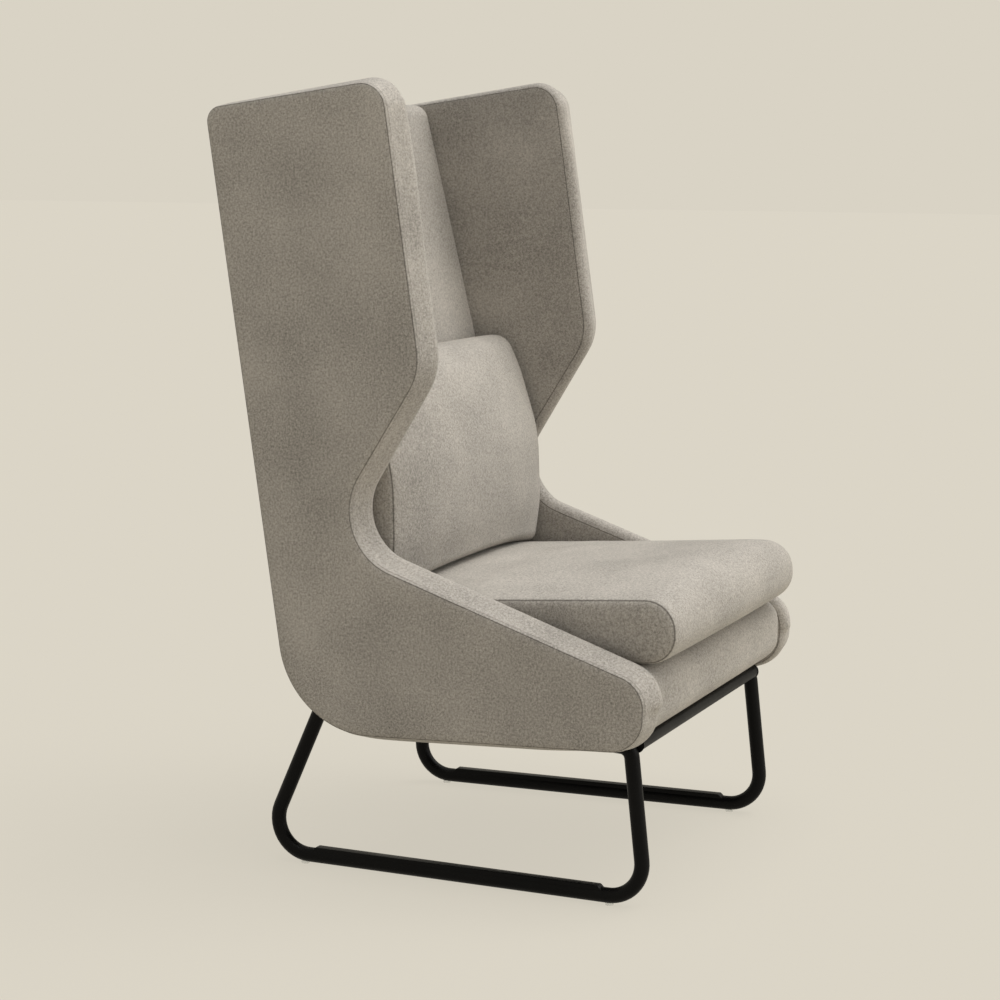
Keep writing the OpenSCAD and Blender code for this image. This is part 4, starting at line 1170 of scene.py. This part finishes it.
def plate_holes():
    """Where the cloth is cut out: round each mounting plate, as it lies in the CAD node."""
    low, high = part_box("mounting_plates")
    middle = (low.y + high.y) / 2
    gap = DUST_GAP_MM * MM
    points = [v.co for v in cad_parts["mounting_plates"].data.vertices]
    holes = []
    for side in (-1, 1):
        for end in (-1, 1):
            own = [p for p in points if p.x * side > 0 and (p.y - middle) * end > 0]
            xs, ys = [p.x for p in own], [p.y for p in own]
            holes.append((min(xs) - gap, max(xs) + gap, min(ys) - gap, max(ys) + gap))
    return holes


def lines_between(low, high, stops):
    """Grid lines from low to high that fall on every stop."""
    marks = sorted({low, high, *(s for s in stops if low < s < high)})
    lines = []
    for a, b in zip(marks, marks[1:]):
        count = max(1, math.ceil((b - a) / (DUST_STEP_MM * MM)))
        lines += [a + (b - a) * k / count for k in range(count)]
    return lines + [high]


def dust_sheet(name):
    low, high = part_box("dust_cover")
    holes = plate_holes()
    xs = lines_between(low.x, high.x, [h[k] for h in holes for k in (0, 1)])
    ys = lines_between(low.y, high.y, [h[k] for h in holes for k in (2, 3)])
    mesh = bpy.data.meshes.new(name)
    work = bmesh.new()
    edge = DUST_EDGE_MM * MM
    flat = DUST_FLAT_STEPS * DUST_STEP_MM * MM
    across, back, apart = DUST_WAVES
    grid = []
    for y in ys:
        share = (y - low.y) / (high.y - low.y)
        z = low.z + edge + (high.z - low.z - edge) * share
        row = []
        for x in xs:
            from_edge = min(x - low.x, high.x - x, y - low.y, high.y - y) / flat
            wave = noise.noise(Vector((x * across, y * back, apart))) - DUST_WAVE_LOW
            row.append(work.verts.new((x, y, z + wave * min(1, from_edge) * DUST_WAVE_MM * MM)))
        grid.append(row)
    area = 0
    for j in range(len(ys) - 1):
        for i in range(len(xs) - 1):
            x, y = (xs[i] + xs[i + 1]) / 2, (ys[j] + ys[j + 1]) / 2
            if not any(a < x < b and c < y < d for a, b, c, d in holes):
                corners = grid[j][i], grid[j][i + 1], grid[j + 1][i + 1], grid[j + 1][i]
                area += work.faces.new(corners).calc_area()
    loose = [v for v in work.verts if not v.link_faces]
    bmesh.ops.delete(work, geom=loose, context="VERTS")
    weave = plain_weave("black_dust_cloth", DUST_LIGHT, DUST_DARK, DUST_WAVES_PER_M)
    piece = as_piece(name, mesh, work, weave, "chair", ["dust_cover"])
    only(piece)
    cloth = piece.modifiers.new("cloth", "SOLIDIFY")
    cloth.thickness = DUST_CLOTH_MM * MM
    bpy.ops.object.modifier_apply(modifier=cloth.name)


dust_sheet("dust_cloth")

# Hidden frame. Beech rails and stiles and birch plywood boards stand inside the upholstery, and
# zinc plated bolts and inserts hold them and the base together.
BEECH = ((0.42, 0.27, 0.15, 1), (0.62, 0.44, 0.27, 1))
BEECH_ALONG = (0.15, 0.05, 1.0)
BIRCH = ((0.46, 0.33, 0.2, 1), (0.66, 0.5, 0.33, 1))
BIRCH_ALONG = (1.0, 0.3, 0.08)
GRAIN_PER_M = 60
GRAIN_BENT = 0.6
WOOD_ROUGH = (0.55, 0.75)
GRAIN_STRENGTH = 0.2
GRAIN_MM = 0.5
ZINC = ((0.5, 0.51, 0.52, 1), (0.68, 0.69, 0.7, 1))
ZINC_ROUGH = (0.25, 0.42)
SPANGLE_PER_M = 180
GLIDE_TINT = (0.86, 0.88, 0.88, 1)
GLIDE_CLEAR = 0.85
GLIDE_IOR = 1.49
GLIDE_ROUGH = (0.12, 0.3)
SCUFF_PER_M = 700


def grained(name, colours, along):
    material, tree, surface = new_material(name)
    stretch = add(tree, "Mapping", {"Vector": here_on(tree), "Scale": along}).outputs[0]
    grain = clouds(tree, stretch, GRAIN_PER_M, 6.0, bent=GRAIN_BENT).outputs["Fac"]
    coated(tree, surface, mixed(tree, grain, *colours), ranged(tree, grain, WOOD_ROUGH), grain,
           GRAIN_STRENGTH, GRAIN_MM * MM)
    return material


def zinc_plate(name):
    material, tree, surface = new_material(name)
    spangle = clouds(tree, here_on(tree), SPANGLE_PER_M, 4.0).outputs["Fac"]
    coated(tree, surface, mixed(tree, spangle, *ZINC), ranged(tree, spangle, ZINC_ROUGH))
    surface.inputs["Metallic"].default_value = 1
    return material


def clear_plastic(name):
    material, tree, surface = new_material(name)
    scuff = clouds(tree, here_on(tree), SCUFF_PER_M, 3.0).outputs["Fac"]
    tree.links.new(ranged(tree, scuff, GLIDE_ROUGH), surface.inputs["Roughness"])
    surface.inputs["Base Color"].default_value = GLIDE_TINT
    surface.inputs["Transmission Weight"].default_value = GLIDE_CLEAR
    surface.inputs["IOR"].default_value = GLIDE_IOR
    return material


def dressed(material, *names):
    for name in names:
        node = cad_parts[name]
        node.data.materials.clear()
        node.data.materials.append(material)


dressed(grained("beech_rail", BEECH, BEECH_ALONG), "left_seat_rail", "right_seat_rail",
        "front_rail", "rear_rail", "back_top_rail", "left_back_stile", "right_back_stile")
dressed(grained("birch_plywood", BIRCH, BIRCH_ALONG), "back_board", "left_side_board",
        "right_side_board")
dressed(zinc_plate("zinc_plate"), "base_bolts", "bolt_washers", "base_inserts", "panel_bolts",
        "panel_inserts")
dressed(black_coat, "mounting_plates")
dressed(clear_plastic("clear_plastic"), "glides")

# Stage. A pale floor that keeps the chair's shadow, a backdrop of the same colour, three broad
# soft lights from above and in front, and an even fill from all round.
BACKDROP = (0.694, 0.651, 0.558, 1)
FLOOR_HALF_M = 30
FLOOR_ALBEDO = (0.63, 0.59, 0.507, 1)
FLOOR_KEEPS_SHADOW = 0.14
LIGHT_TINT = (1, 0.995, 0.985)
FILL = 0.28
LAMP_SPREAD = math.radians(45)
LAMPS = (
    ("overhead", 2.1, (0, -0.17, 0.98)),
    ("front_left", 1.1, (0.45, -0.45, 0.77)),
    ("front", 0.6, (0.16, -0.91, 0.37)),
)


def emptied(owner):
    owner.use_nodes = True
    owner.node_tree.nodes.clear()
    return owner.node_tree


def seen_directly(tree):
    rays = add(tree, "LightPath")
    seen = maths(tree, "MAXIMUM", rays.outputs["Is Camera Ray"], rays.outputs["Is Glossy Ray"])
    return maths(tree, "MAXIMUM", seen, rays.outputs["Is Transmission Ray"])


corners = [(x * FLOOR_HALF_M, y * FLOOR_HALF_M, 0) for x, y in ((-1, -1), (1, -1), (1, 1), (-1, 1))]
mesh = bpy.data.meshes.new("floor")
mesh.from_pydata(corners, [], [(0, 1, 2, 3)])
floor = bpy.data.objects.new("floor", mesh)
bpy.context.scene.collection.objects.link(floor)
floor_paint = bpy.data.materials.new("floor_paint")
tree = emptied(floor_paint)
plain = add(tree, "BsdfDiffuse", {"Color": FLOOR_ALBEDO})
glow = add(tree, "Emission", {"Color": BACKDROP, "Strength": 1.0})
part = maths(tree, "MULTIPLY", seen_directly(tree), 1 - FLOOR_KEEPS_SHADOW)
both = add(tree, "MixShader", {0: part, 1: plain.outputs[0], 2: glow.outputs[0]})
add(tree, "OutputMaterial", {"Surface": both.outputs[0]})
mesh.materials.append(floor_paint)

world = bpy.data.worlds.new("world")
bpy.context.scene.world = world
tree = emptied(world)
fill = add(tree, "Background", {"Color": (*LIGHT_TINT, 1), "Strength": FILL})
back = add(tree, "Background", {"Color": BACKDROP, "Strength": 1.0})
both = add(tree, "MixShader", {0: seen_directly(tree), 1: fill.outputs[0], 2: back.outputs[0]})
add(tree, "OutputWorld", {"Surface": both.outputs[0]})

for name, strength, way in LAMPS:
    lamp = bpy.data.lights.new(name, "SUN")
    lamp.energy = strength
    lamp.angle = LAMP_SPREAD
    lamp.color = LIGHT_TINT
    stand = bpy.data.objects.new(name, lamp)
    bpy.context.scene.collection.objects.link(stand)
    stand.rotation_euler = Vector(way).to_track_quat("Z", "Y").to_euler()

bpy.context.scene.view_settings.view_transform = "Standard"
